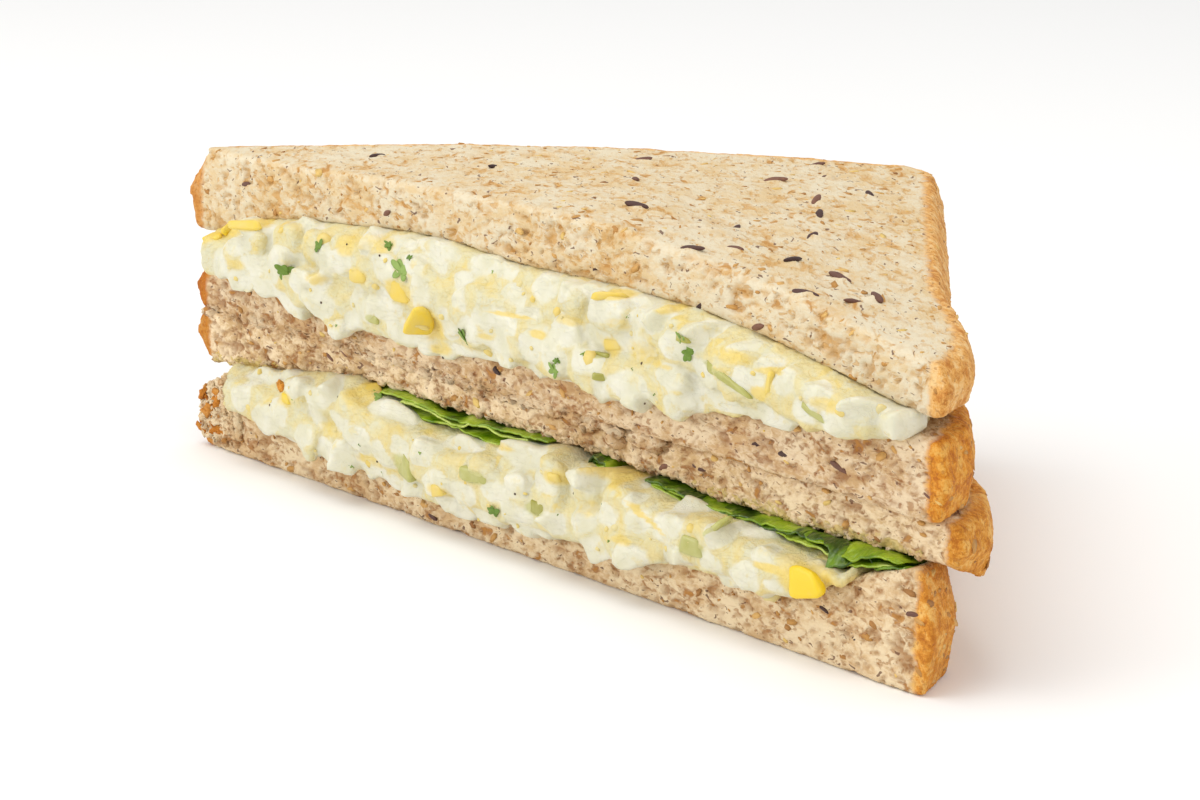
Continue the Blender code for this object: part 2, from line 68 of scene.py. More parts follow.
# The loaf's plan, in mm. Its back corner lies on the plan's own Y axis.
loaf = {
    "side": 120.3,
    "backCorner": 7.0,
    "tipCorner": 8.0,
    "lobeStart": 79.0,
    "lobePeak": 106.5,
    "lobeRadius": 22.0,
    "planX": 0.912,      # the plan's origin is on the cut, this far from the frame's
    "planY": 39.876,
    "turn": 0.95,        # degrees that the third slice has turned about its -X tip
}
cutY = -loaf["planY"] * mm
up = Vector((0.0, 0.0, 1.0))
outOfCut = Vector((0.0, -1.0, 0.0))
grainTurn = math.radians(-139.85)    # the crumb's pattern is drawn out along this direction in plan
halfDiagonal = loaf["side"] / math.sqrt(2.0)
leftTip = -halfDiagonal + loaf["tipCorner"] * (math.sqrt(2.0) - 1.0)


# Node trees, for materials and for shapes
class Wire:
    def __init__(self, recipe, socket):
        self.recipe = recipe
        self.socket = socket

    def __add__(self, other):
        return self.recipe.maths("ADD", self, other)

    def __radd__(self, other):
        return self.recipe.maths("ADD", other, self)

    def __sub__(self, other):
        return self.recipe.maths("SUBTRACT", self, other)

    def __rsub__(self, other):
        return self.recipe.maths("SUBTRACT", other, self)

    def __mul__(self, other):
        return self.recipe.maths("MULTIPLY", self, other)

    def __rmul__(self, other):
        return self.recipe.maths("MULTIPLY", other, self)


class Recipe:
    def __init__(self, tree):
        self.tree = tree
        tree.nodes.clear()

    def pick(self, sockets, key):
        if isinstance(key, int):
            return sockets[key]
        return next(s for s in sockets if s.enabled and (key is None or s.name == key))

    def add(self, kind, settings=None, values=None, out=None):
        node = self.tree.nodes.new(kind)
        for key, value in (settings or {}).items():
            if key == "stops":
                self.setStops(node.color_ramp, value)
            else:
                setattr(node, key, value)
        for key, value in (values or {}).items():
            socket = self.pick(node.inputs, key)
            if isinstance(value, Wire):
                self.tree.links.new(value.socket, socket)
            else:
                socket.default_value = value
        if not node.outputs:
            return None
        return Wire(self, self.pick(node.outputs, out))

    def setStops(self, ramp, stops):
        while len(ramp.elements) < len(stops):
            ramp.elements.new(1.0)
        for element, (place, colour) in zip(ramp.elements, stops):
            element.position = place
            element.color = (*colour, 1.0)

    def blend(self, factor, first, second):
        first = first if isinstance(first, Wire) else (*first, 1.0)
        second = second if isinstance(second, Wire) else (*second, 1.0)
        return self.add("ShaderNodeMix", {"data_type": "RGBA"}, {"Factor": factor, "A": first, "B": second})

    def ramp(self, factor, *stops):
        return self.add("ShaderNodeValToRGB", {"stops": stops}, {"Fac": factor})

    def step(self, value, low, high):
        return self.add(
            "ShaderNodeMapRange", {"interpolation_type": "SMOOTHSTEP"},
            {"Value": value, "From Min": low, "From Max": high},
        )

    def vector(self, operation, first, second):
        return self.add("ShaderNodeVectorMath", {"operation": operation}, {0: first, 1: second})

    def scaled(self, vector, amount):
        return self.add("ShaderNodeVectorMath", {"operation": "SCALE"}, {0: vector, "Scale": amount})

    def maths(self, operation, first, second=0.0):
        return self.add("ShaderNodeMath", {"operation": operation}, {0: first, 1: second})

    # Size is that of the pattern's features
    def noise(self, vector, size, detail=2.0, roughness=0.5, distortion=0.0, out=0):
        return self.add(
            "ShaderNodeTexNoise", None,
            {"Vector": vector, "Scale": 1.0 / size, "Detail": detail, "Roughness": roughness,
             "Distortion": distortion},
            out,
        )

    def cells(self, vector, size, out="Distance"):
        return self.add("ShaderNodeTexVoronoi", None, {"Vector": vector, "Scale": 1.0 / size}, out)

    def attribute(self, name):
        return self.add("ShaderNodeAttribute", {"attribute_name": name}, None, "Fac")

    def named(self, name, kind="FLOAT"):
        return self.add("GeometryNodeInputNamedAttribute", {"data_type": kind}, {"Name": name})

    def objectPlace(self):
        return self.add("ShaderNodeTexCoord", None, None, "Object")

    def bump(self, height, distance, strength=1.0):
        return self.add(
            "ShaderNodeBump", None, {"Height": height, "Distance": distance, "Strength": strength}
        )


# A material from a function that returns what its Principled shader's sockets get
def finish(name, mix):
    material = bpy.data.materials.new(name)
    material.use_nodes = True
    recipe = Recipe(material.node_tree)
    surface = recipe.add("ShaderNodeBsdfPrincipled", None, mix(recipe))
    recipe.add("ShaderNodeOutputMaterial", None, {"Surface": surface})
    return material


# A Geometry Nodes tree with named inputs. Its maker returns the geometry before the last step.
def shapeTree(name, inputs, make):
    tree = bpy.data.node_groups.new(name, "GeometryNodeTree")
    recipe = Recipe(tree)
    tree.interface.new_socket("Geometry", in_out="OUTPUT", socket_type="NodeSocketGeometry")
    given = {"Geometry": "NodeSocketGeometry", "Material": "NodeSocketMaterial", **inputs}
    for label, kind in given.items():
        tree.interface.new_socket(label, in_out="INPUT", socket_type=kind)
    group = tree.nodes.new("NodeGroupInput")
    wires = {label: Wire(recipe, group.outputs[label]) for label in given}
    made = make(recipe, wires)
    real = recipe.add("GeometryNodeRealizeInstances", None, {"Geometry": made})
    rounded = recipe.add("GeometryNodeSetShadeSmooth", None, {"Geometry": real})
    dressed = recipe.add(
        "GeometryNodeSetMaterial", None, {"Geometry": rounded, "Material": wires["Material"]}
    )
    recipe.add("NodeGroupOutput", None, {"Geometry": dressed})
    return tree


def settle(piece):
    graph = bpy.context.evaluated_depsgraph_get()
    mesh = bpy.data.meshes.new_from_object(piece.evaluated_get(graph))
    piece.modifiers.clear()
    piece.data = mesh
    return piece


def throughTree(piece, tree, values):
    modifier = piece.modifiers.new(tree.name, "NODES")
    modifier.node_group = tree
    for item in tree.interface.items_tree:
        if item.in_out == "INPUT" and item.name in values:
            modifier[item.identifier] = values[item.name]
    return settle(piece)


def addPiece(name, mesh):
    piece = bpy.data.objects.new(name, mesh)
    bpy.context.scene.collection.objects.link(piece)
    return piece


def meshFrom(name, work):
    mesh = bpy.data.meshes.new(name)
    work.to_mesh(mesh)
    work.free()
    return mesh


def setAttribute(mesh, name, kind, field, values):
    attribute = mesh.attributes.new(name, kind, "POINT")
    attribute.data.foreach_set(field, np.asarray(values, dtype=float).ravel())


def pointsOf(mesh):
    points = np.zeros(len(mesh.vertices) * 3)
    mesh.vertices.foreach_get("co", points)
    return points.reshape(-1, 3)


# One smooth skin over all that a piece holds
def reskin(piece, voxel, rounds):
    remesh = piece.modifiers.new("voxels", "REMESH")
    remesh.mode = "VOXEL"
    remesh.voxel_size = voxel
    soften = piece.modifiers.new("soften", "SMOOTH")
    soften.factor = 0.5
    soften.iterations = rounds
    return settle(piece)


# A finer, rounded copy of a CAD node
def softCopy(node, name, voxel, rounds):
    work = bmesh.new()
    work.from_mesh(nodes[node].data)
    bmesh.ops.remove_doubles(work, verts=work.verts, dist=0.002 * mm)
    return reskin(addPiece(name, meshFrom(name, work)), voxel, rounds)


# Makes one skin of a piece and what is sunk in it
def fuse(piece, other, voxel, rounds):
    work = bmesh.new()
    work.from_mesh(piece.data)
    work.from_mesh(other.data)
    piece.data = meshFrom(piece.name, work)
    return reskin(piece, voxel, rounds)


def surfaceOf(*pieces):
    points = []
    faces = []
    for piece in pieces:
        first = len(points)
        points += [v.co.copy() for v in piece.data.vertices]
        faces += [[first + i for i in p.vertices] for p in piece.data.polygons]
    return BVHTree.FromPolygons(points, faces)


def handOver(piece, slot, *replaced):
    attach(piece, "root")
    if replaced:
        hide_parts(*replaced)


# Studio
studio = {
    "target": (-18.28, -9.88, 14.98),    # mm
    "distance": 513.2,
    "turn": 49.85,                       # degrees from the cut's own direction of view
    "rise": 14.32,
    "lens": 100.46,
    "sensor": 36.0,
    "world": 0.68,
    "floor": (0.94, 0.94, 0.935),
    "floorRadius": 6.0,
    # name: place in m, size in m, power in W, colour
    "lights": {
        "topLight": ((-0.15, -0.25, 1.1), 0.9, 6.0, (1.0, 0.985, 0.96)),
        "cutLight": ((-0.5, -1.0, 0.3), 0.7, 4.6, (1.0, 0.98, 0.95)),
        "endLight": ((0.95, -0.1, 0.45), 0.6, 2.2, (1.0, 0.97, 0.93)),
    },
}


def makeStudio():
    scene = bpy.context.scene
    scene.view_settings.view_transform = "Standard"
    turn = math.radians(studio["turn"])
    rise = math.radians(studio["rise"])
    back = Vector((math.sin(turn) * math.cos(rise), -math.cos(turn) * math.cos(rise), math.sin(rise)))
    lens = bpy.data.cameras.new("camera")
    lens.lens = studio["lens"]
    lens.sensor_width = studio["sensor"]
    lens.clip_start = 0.01
    camera = bpy.data.objects.new("camera", lens)
    scene.collection.objects.link(camera)
    target = Vector(studio["target"]) * mm
    camera.location = target + back * studio["distance"] * mm
    camera.rotation_euler = (-back).to_track_quat("-Z", "Y").to_euler()
    scene.camera = camera
    studio["eye"] = camera.location.copy()
    for name, (place, size, power, colour) in studio["lights"].items():
        lamp = bpy.data.lights.new(name, "AREA")
        lamp.size = size
        lamp.energy = power
        lamp.color = colour
        light = bpy.data.objects.new(name, lamp)
        scene.collection.objects.link(light)
        light.location = place
        light.rotation_euler = (-Vector(place)).to_track_quat("-Z", "Y").to_euler()
    world = bpy.data.worlds.new("softbox")
    scene.world = world
    world.use_nodes = True
    world.node_tree.nodes["Background"].inputs["Color"].default_value = (1.0, 1.0, 1.0, 1.0)
    world.node_tree.nodes["Background"].inputs["Strength"].default_value = studio["world"]
    work = bmesh.new()
    bmesh.ops.create_circle(work, cap_ends=True, segments=64, radius=studio["floorRadius"])
    floor = addPiece("floor", meshFrom("floor", work))
    floor.data.materials.append(finish("paleFloor", lambda recipe: {
        "Base Color": (*studio["floor"], 1.0), "Roughness": 0.9, "Specular IOR Level": 0.1,
    }))


makeStudio()
print("studio ready")

# Bread
# Each slice's palette. Its pit colour is painted shade for the crumb's pits and hollows, darker on the
# three lower slices, and hollowShade is how strongly the bump's hollows take it.
breads = {
    "bread_top": {
        "name": "sliceTop", "slot": "bread_light", "lobe": 3.1, "tip": 4.8, "seed": 5, "swell": 0.1,
        "hollowShade": 0.75, "pale": (0.735, 0.645, 0.47), "warm": (0.70, 0.53, 0.30), "pit": (0.60, 0.33, 0.10),
        "crust": ((0.82, 0.55, 0.25), (0.74, 0.38, 0.10), (0.52, 0.20, 0.035)),
    },
    "bread_second": {
        "name": "sliceSecond", "slot": "bread_dark", "lobe": 3.1, "tip": 8.0, "seed": 6, "swell": 0.3,
        "hollowShade": 0.9, "pale": (0.77, 0.61, 0.41), "warm": (0.57, 0.365, 0.18), "pit": (0.34, 0.15, 0.055),
        "crust": ((0.76, 0.41, 0.09), (0.65, 0.25, 0.022), (0.42, 0.12, 0.01)),
    },
    "bread_third": {
        "name": "sliceThird", "slot": "bread_dark", "lobe": 4.2, "tip": 8.0, "seed": 7, "swell": 0.3,
        "hollowShade": 0.95, "pale": (0.85, 0.68, 0.45), "warm": (0.62, 0.42, 0.21), "pit": (0.34, 0.16, 0.06),
        "crust": ((0.78, 0.46, 0.13), (0.66, 0.28, 0.035), (0.44, 0.14, 0.01)),
    },
    "bread_bottom": {
        "name": "sliceBottom", "slot": "bread_light", "lobe": 1.4, "tip": 7.0, "seed": 9, "swell": 0.1,
        "hollowShade": 0.9, "pale": (0.80, 0.65, 0.43), "warm": (0.64, 0.44, 0.235), "pit": (0.38, 0.18, 0.065),
        "crust": ((0.80, 0.48, 0.14), (0.68, 0.28, 0.035), (0.48, 0.16, 0.015)),
    },
}
crumb = {
    "voxel": 0.48 * mm,
    "rounds": 2,
    "tearSize": 2.3 * mm,
    "tearDepth": 0.55 * mm,
    "poreSize": 1.15 * mm,
    "poreDepth": 0.22 * mm,
    "lumpSize": 4.5 * mm,
    "lumpDepth": 0.5 * mm,
    "swirlSize": 1.8 * mm,
    "swirlReach": 1.4 * mm,
    "flatten": (0.62, 0.8, 1.3),   # the cut's tears are longer than high
    "clusterSize": 9.0 * mm,
    "grainSize": 0.8 * mm,
    "grainDepth": 0.15 * mm,
    "topShare": 0.4,               # how deep the pits are on the level faces
    "crustEdge": (1.9, 3.3),       # mm in from the side, where the crust's colour ends
    "crustGrain": 0.4 * mm,
    "tipShade": (-80.0 * mm, -70.0 * mm),    # along X: the -X tip's crust is painted darker, as shade against the light that falls on the tip
    "drawnOut": (0.45, 0.95, 1.25),          # share of the pattern's scale, after grainTurn
    "darkFleck": (0.13, 0.05, 0.03),
    "branFleck": (0.48, 0.22, 0.05),
    "crustSpeck": (0.36, 0.11, 0.015),
}


def lobeBulge(along, lobe):
    rise = np.clip((along - loaf["lobeStart"]) / (loaf["lobePeak"] - loaf["lobeStart"]), 0.0, 1.0)
    swell = lobe * rise * rise * (3.0 - 2.0 * rise)
    past = np.maximum(along - loaf["lobePeak"], 0.0)
    return swell - past ** 2 / (2.0 * loaf["lobeRadius"])


# How deep a point lies inside the crust, in mm, in plan
def crustDepth(points, node):
    x = points[:, 0] / mm + loaf["planX"]
    y = points[:, 1] / mm + loaf["planY"]
    if node == "bread_third":
        turn = -math.radians(loaf["turn"])
        out = x - leftTip
        x = leftTip + out * math.cos(turn) - y * math.sin(turn)
        y = out * math.sin(turn) + y * math.cos(turn)
    root = math.sqrt(2.0)
    right = (halfDiagonal - x - y) / root
    left = (halfDiagonal + x - y) / root
    end = loaf["side"] - right
    right = right + lobeBulge((x - y + halfDiagonal) / root, breads[node]["lobe"])

    def rounded(first, second, radius):
        inside = radius - np.hypot(radius - first, radius - second)
        return np.where((first < radius) & (second < radius), inside, np.minimum(first, second))

    return np.minimum(rounded(left, right, loaf["backCorner"]), rounded(left, end, breads[node]["tip"]))


def crumbTree():
    def make(recipe, given):
        place = recipe.add("GeometryNodeInputPosition")
        normal = recipe.add("GeometryNodeInputNormal")
        upward = recipe.add("ShaderNodeSeparateXYZ", None, {0: normal}, "Z")
        level = recipe.step(recipe.maths("ABSOLUTE", upward), 0.55, 0.85)
        shift = recipe.add("ShaderNodeCombineXYZ", None, {"X": given["Seed"]})
        moved = recipe.vector("ADD", place, shift)
        swirl = recipe.noise(moved, crumb["swirlSize"], 2.0, out="Color")
        bent = recipe.vector("ADD", moved, recipe.scaled(swirl, crumb["swirlReach"]))
        flat = recipe.vector("MULTIPLY", bent, crumb["flatten"])
        crust = 1.0 - recipe.step(recipe.named("crustDepth"), *crumb["crustEdge"])
        cluster = (recipe.noise(moved, crumb["clusterSize"], 2.0) - 0.5) * 0.22
        tear = recipe.step(recipe.noise(flat, crumb["tearSize"], 3.0, 0.6) + cluster, 0.54, 0.68)
        pore = recipe.step(recipe.noise(flat, crumb["poreSize"], 2.0, 0.5), 0.56, 0.66)
        open = (1.0 - crust * 0.8) * (1.0 - level * (1.0 - crumb["topShare"]))
        lumps = recipe.noise(moved, crumb["lumpSize"], 2.0) - 0.5
        grain = recipe.noise(moved, crumb["grainSize"], 2.0, 0.6) - 0.5
        grainDepth = crumb["grainDepth"] * (1.0 - crust) + crust * crumb["crustGrain"]
        height = given["Swell"] + lumps * crumb["lumpDepth"] + grain * grainDepth
        height = height - tear * open * crumb["tearDepth"] - pore * open * crumb["poreDepth"]
        # pit marks the tears and pores, which the finish paints with the slice's pit colour as shade.
        pit = recipe.maths("MAXIMUM", tear, pore * 0.75) * open
        marked = recipe.add(
            "GeometryNodeStoreNamedAttribute", {"data_type": "FLOAT", "domain": "POINT"},
            {"Geometry": given["Geometry"], "Name": "pit", "Value": pit},
        )
        lifted = recipe.add(
            "GeometryNodeSetPosition", None, {"Geometry": marked, "Offset": recipe.scaled(normal, height)}
        )
        onFloor = recipe.vector("MAXIMUM", recipe.add("GeometryNodeInputPosition"), (-1.0, -1.0, 0.0))
        return recipe.add("GeometryNodeSetPosition", None, {"Geometry": lifted, "Position": onFloor})

    return shapeTree("crumbRelief", {"Swell": "NodeSocketFloat", "Seed": "NodeSocketFloat"}, make)


def breadFinish(facts):
    def mix(recipe):
        place = recipe.objectPlace()
        depth = recipe.attribute("crustDepth")
        pit = recipe.attribute("pit")
        turned = recipe.add(
            "ShaderNodeVectorRotate", {"rotation_type": "Z_AXIS"},
            {"Vector": place, "Angle": grainTurn}, "Vector",
        )
        stretched = recipe.vector("MULTIPLY", turned, crumb["drawnOut"])
        broad = recipe.noise(place, 11.0 * mm, 2.0)
        strands = recipe.noise(stretched, 1.0 * mm, 4.0, 0.7, 0.6)
        patchy = recipe.noise(stretched, 3.6 * mm, 3.0, 0.55, 0.4)
        tone = recipe.step(broad * 0.25 + patchy * 0.35 + strands * 0.4, 0.41, 0.57)
        crumbColour = recipe.blend(tone, facts["warm"], facts["pale"])
        # Painted shade in the hollows: the pit colour where the bump sinks in (hollowShade, smallPitShade)
        # and in the relief's own pits.
        cluster = (broad - 0.5) * -0.3
        hollowShade = recipe.step(recipe.noise(stretched, 1.9 * mm, 3.0, 0.6, 0.5) + cluster, 0.53, 0.69)
        crumbColour = recipe.blend(hollowShade * facts["hollowShade"], crumbColour, facts["pit"])
        pitted = recipe.blend(pit * 0.75, crumbColour, facts["pit"])
        smallPitShade = recipe.step(recipe.noise(stretched, 0.9 * mm, 1.0, 0.5, 0.4), 0.61, 0.70)
        pitted = recipe.blend(smallPitShade * 0.6, pitted, facts["pit"])
        dark = recipe.step(recipe.noise(stretched, 1.0 * mm, 1.0, 0.5, 0.8), 0.7, 0.73)
        pitted = recipe.blend(dark * 0.8, pitted, crumb["darkFleck"])
        bran = recipe.step(recipe.noise(stretched, 1.9 * mm, 1.5, 0.5, 0.8), 0.68, 0.72)
        pitted = recipe.blend(bran * 0.7, pitted, crumb["branFleck"])
        edge = depth + (recipe.noise(place, 2.4 * mm, 4.0, 0.65) - 0.5) * 3.0
        crust = 1.0 - recipe.step(edge, *crumb["crustEdge"])
        baked = recipe.noise(place, 2.4 * mm, 5.0, 0.8)
        crustColour = recipe.ramp(
            baked, (0.38, facts["crust"][0]), (0.5, facts["crust"][1]), (0.62, facts["crust"][2])
        )
        # Painted shade: the crust darkens towards the -X tip, against the light that falls there.
        along = recipe.add("ShaderNodeSeparateXYZ", None, {0: place}, "X")
        tipShade = 1.0 - recipe.step(along, *crumb["tipShade"])
        crustColour = recipe.blend(tipShade * 0.6, crustColour, facts["crust"][2])
        speck = recipe.step(recipe.noise(place, 0.7 * mm, 2.0), 0.56, 0.66)
        crustColour = recipe.blend(speck * 0.5, crustColour, crumb["crustSpeck"])
        streaks = (recipe.noise(place, 1.5 * mm, 3.0) - 0.5) * 2.2
        wet = recipe.step(recipe.attribute("smear") + streaks, 0.6, 0.95)
        pitted = recipe.blend(wet * 0.75, pitted, smear["colour"])
        colour = recipe.blend(crust, pitted, crustColour)
        height = recipe.noise(stretched, 0.45 * mm, 3.0, 0.65) * 0.7 + strands - smallPitShade * 0.6 - hollowShade * 0.5
        return {
            "Base Color": colour,
            "Roughness": 0.95 - crust * 0.25,
            "Specular IOR Level": 0.2,
            "Normal": recipe.bump(height, 0.45 * mm, 0.55),
        }

    return finish(facts["name"] + "Crumb", mix)


# Dressing that has soaked into the lower edge of the third slice
smear = {
    "node": "bread_third",
    "high": 2.2,                                   # mm above the edge
    "spans": ((-80.0, -60.0), (34.0, 80.0)),       # mm along X
    "deep": 4.0,                                   # mm in from the cut
    "colour": (0.62, 0.47, 0.15),
}


def smearOn(points, node):
    amount = np.zeros(len(points))
    if node != smear["node"]:
        return amount
    x = points[:, 0] / mm
    z = points[:, 2] / mm
    front = points[:, 1] < cutY + smear["deep"] * mm
    for step in range(int(x.min()), int(x.max()) + 1):
        here = front & (np.abs(x - step) < 0.5)
        if here.any():
            amount[here] = np.clip(1.2 - (z[here] - z[here].min()) / smear["high"], 0.0, 1.0)
    within = np.zeros(len(points))
    for first, last in smear["spans"]:
        within = np.maximum(within, np.clip(np.minimum(x - first, last - x) / 5.0, 0.0, 1.0))
    return amount * within


slices = {}
relief = crumbTree()
for node, facts in breads.items():
    slicePiece = softCopy(node, facts["name"], crumb["voxel"], crumb["rounds"])
    depths = crustDepth(pointsOf(slicePiece.data), node)
    setAttribute(slicePiece.data, "crustDepth", "FLOAT", "value", depths)
    setAttribute(slicePiece.data, "smear", "FLOAT", "value", smearOn(pointsOf(slicePiece.data), node))
    throughTree(slicePiece, relief, {
        "Material": breadFinish(facts),
        "Swell": facts["swell"] * mm,
        "Seed": facts["seed"] * 0.37,
    })
    handOver(slicePiece, facts["slot"], node)
    slices[node] = slicePiece
print("bread ready")


# Small shapes, about one unit long, that are laid out in numbers
def chunkShape(name, rng, corners, softness):
    work = bmesh.new()
    spread = 1.3 if corners == 4 else 1.05
    for level, reach in ((0.5, 1.0), (-0.5, 0.82)):
        for i in range(corners):
            angle = 2.0 * math.pi * (i + 0.5 + rng.uniform(-0.22, 0.22)) / corners
            out = spread * 0.5 * reach * rng.uniform(0.78, 1.12)
            lift = rng.uniform(-0.08, 0.02) if level > 0.0 else 0.0
            work.verts.new((out * math.cos(angle), out * math.sin(angle), level + lift))
    bmesh.ops.convex_hull(work, input=work.verts)
    edges = [e for e in work.edges if e.calc_face_angle(0.0) > 0.25]
    bmesh.ops.bevel(
        work, geom=edges, offset=softness, segments=3, profile=0.5, affect="EDGES", clamp_overlap=True
    )
    bmesh.ops.recalc_face_normals(work, faces=work.faces)
    return meshFrom(name, work)


def lumpShape(name, rng, roughness=0.35):
    work = bmesh.new()
    bmesh.ops.create_icosphere(work, subdivisions=2, radius=0.5)
    start = Vector((rng.uniform(0, 50), rng.uniform(0, 50), 0))
    for vert in work.verts:
        vert.co *= 1.0 + roughness * noise.noise(vert.co * 3.0 + start)
    return meshFrom(name, work)


# A linseed: flat, round at one end and pointed at the other
def linseedShape(name, rng):
    work = bmesh.new()
    bmesh.ops.create_uvsphere(work, u_segments=14, v_segments=10, radius=0.5)
    bmesh.ops.rotate(work, verts=work.verts, matrix=Matrix.Rotation(math.pi / 2.0, 3, "Y"))
    for vert in work.verts:
        along = vert.co.x + 0.5
        point = 1.0 - 0.45 * max(0.0, along - 0.45) ** 1.3
        vert.co.y *= point
        vert.co.z *= point * (1.0 + 0.1 * rng.uniform(-1.0, 1.0) * abs(vert.co.y))
    return meshFrom(name, work)


# A bran fleck: a thin torn flake
def flakeShape(name, rng):
    work = bmesh.new()
    corners = 7
    for level in (0.5, -0.5):
        for i in range(corners):
            angle = 2.0 * math.pi * (i + rng.uniform(-0.3, 0.3)) / corners
            out = 0.5 * rng.uniform(0.6, 1.0)
            lift = level * 0.8 + 0.3 * math.cos(angle)
            work.verts.new((out * math.cos(angle), out * math.sin(angle), lift))
    bmesh.ops.convex_hull(work, input=work.verts)
    bmesh.ops.recalc_face_normals(work, faces=work.faces)
    return meshFrom(name, work)


# A bit of herb: a few flat, overlapping lobes
def herbShape(name, rng):
    work = bmesh.new()
    lobes = 6
    for i in range(lobes):
        angle = 2.0 * math.pi * (i + rng.uniform(-0.25, 0.25)) / lobes
        reach = rng.uniform(0.12, 0.34) if i else 0.0
        place = Vector((reach * math.cos(angle), 0.7 * reach * math.sin(angle), rng.uniform(-0.1, 0.1)))
        made = bmesh.ops.create_icosphere(work, subdivisions=2, radius=rng.uniform(0.15, 0.25))["verts"]
        flat = Matrix.Diagonal((1.3, 0.7, 0.3, 1.0))
        turn = Matrix.Rotation(angle, 4, "Z") @ Matrix.Rotation(rng.uniform(-0.7, 0.7), 4, "Y")
        bmesh.ops.transform(work, matrix=Matrix.Translation(place) @ turn @ flat, verts=made)
    return meshFrom(name, work)


def shapeSet(label, maker, count, seed):
    rng = random.Random(seed)
    shelf = bpy.data.collections.new(label)
    for i in range(count):
        name = f"{label}Shape{i:02d}"
        shelf.objects.link(bpy.data.objects.new(name, maker(name, rng)))
    return shelf


def scatterTree():
    def make(recipe, given):
        shapes = recipe.add(
            "GeometryNodeCollectionInfo", None,
            {"Collection": given["Shapes"], "Separate Children": True, "Reset Children": True},
        )
        turn = recipe.add(
            "FunctionNodeEulerToRotation", None, {"Euler": recipe.named("turn", "FLOAT_VECTOR")}
        )
        laid = recipe.add("GeometryNodeInstanceOnPoints", None, {
            "Points": given["Geometry"], "Instance": shapes, "Pick Instance": True,
            "Instance Index": recipe.named("shape", "INT"), "Rotation": turn,
            "Scale": recipe.named("size", "FLOAT_VECTOR"),
        })
        real = recipe.add("GeometryNodeRealizeInstances", None, {"Geometry": laid})
        place = recipe.add("GeometryNodeInputPosition")
        swirl = recipe.add(
            "ShaderNodeTexNoise", None, {"Vector": place, "Scale": given["Ripple"], "Detail": 2.0}, "Color"
        )
        bend = recipe.scaled(recipe.vector("SUBTRACT", swirl, (0.5, 0.5, 0.5)), given["Bend"])
        return recipe.add("GeometryNodeSetPosition", None, {"Geometry": real, "Offset": bend})

    inputs = {"Shapes": "NodeSocketCollection", "Bend": "NodeSocketFloat", "Ripple": "NodeSocketFloat"}
    return shapeTree("layOut", inputs, make)


layOutTree = scatterTree()


# Lays shapes out at places, each a dictionary with at, turn (a matrix), size and tone
def layOut(name, places, shapes, material, bend=0.0, ripple=3.0 * mm):
    mesh = bpy.data.meshes.new(name)
    mesh.from_pydata([p["at"] for p in places], [], [])
    kinds = len(shapes.objects)
    setAttribute(mesh, "turn", "FLOAT_VECTOR", "vector", [p["turn"].to_euler() for p in places])
    setAttribute(mesh, "size", "FLOAT_VECTOR", "vector", [p["size"] for p in places])
    setAttribute(mesh, "tone", "FLOAT", "value", [p["tone"] for p in places])
    picks = mesh.attributes.new("shape", "INT", "POINT")
    picks.data.foreach_set("value", [i % kinds for i in range(len(places))])
    return throughTree(addPiece(name, mesh), layOutTree, {
        "Material": material, "Shapes": shapes, "Bend": bend, "Ripple": 1.0 / ripple,
    })


# Axes for a shape that lies on a surface: Z out of it, X level along it, then spun
def facing(normal, spin):
    level = up.cross(normal)
    if level.length < 0.2:
        level = Vector((1.0, 0.0, 0.0))
    level = (level - normal * level.dot(normal)).normalized()
    across = normal.cross(level)
    turned = Matrix((level, across, normal)).transposed()
    return turned @ Matrix.Rotation(spin, 3, "Z")


def spots(piece, count, rng, keep, gap):
    faces = piece.data.polygons
    found = []
    for _ in range(count * 40):
        if len(found) == count:
            break
        face = faces[rng.randrange(len(faces))]
        if not keep(face.center, face.normal):
            continue
        if all((face.center - other[0]).length > gap for other in found):
            found.append((face.center.copy(), face.normal.copy()))
    return found


# Seeds and bran
seeds = {
    "size": (3.6, 1.2, 0.8),      # mm
    # on the top face, in the loaf's plan: x and y in mm
    "top": (
        (-9, 67), (-1, 62), (12, 58), (14, 45), (-8, 29), (12, 12), (33, 26), (35, 2), (37, 8),
        (44, 12), (52, 13), (57, 2), (60, 12), (62, 6), (0, 50), (22, 38), (24, 20), (-24, 44),
        (-30, 20), (-52, 14),
    ),
    # in the cut faces: x and z in mm
    "cut": {
        "bread_top": ((-68, 44.9), (-31, 45.7), (16, 44.8), (28, 43.2), (39, 43.9), (50, 42.9)),
        "bread_second": ((-5, 26.9), (50, 27.0), (56, 26.8), (66, 27.3), (82, 26.7)),
        "bread_third": ((-66, 20.8), (-47, 21.0), (-42, 22.0), (30, 19.6), (37, 20.8)),
        "bread_bottom": ((-21, 1.2), (63, 7.6), (69, 4.7), (79, 10.6)),
    },
}


branFlake = {
    "sizes": (0.8, 1.1, 1.5, 2.4),    # mm long
    "thick": 0.28 * mm,
    "gap": 1.2 * mm,
    "lowest": 0.8 * mm,               # no flake lies lower, so that none reaches the floor
    "counts": {"bread_top": 330, "bread_second": 170, "bread_third": 170, "bread_bottom": 330},
}


def fromAbove(surface, x, y):
    hit = surface.ray_cast(Vector((x, y, 0.2)), Vector((0.0, 0.0, -1.0)))
    return hit[0], hit[1]


# The place on a surface where the camera sees a point of the cut's own plane
def asSeen(surface, x, z):
    eye = studio["eye"]
    hit = surface.ray_cast(eye, (Vector((x, cutY, z)) - eye).normalized())
    return hit[0], hit[1]


def fromCut(surface, x, z):
    hit = surface.ray_cast(Vector((x, -0.2, z)), Vector((0.0, 1.0, 0.0)))
    return hit[0], hit[1]


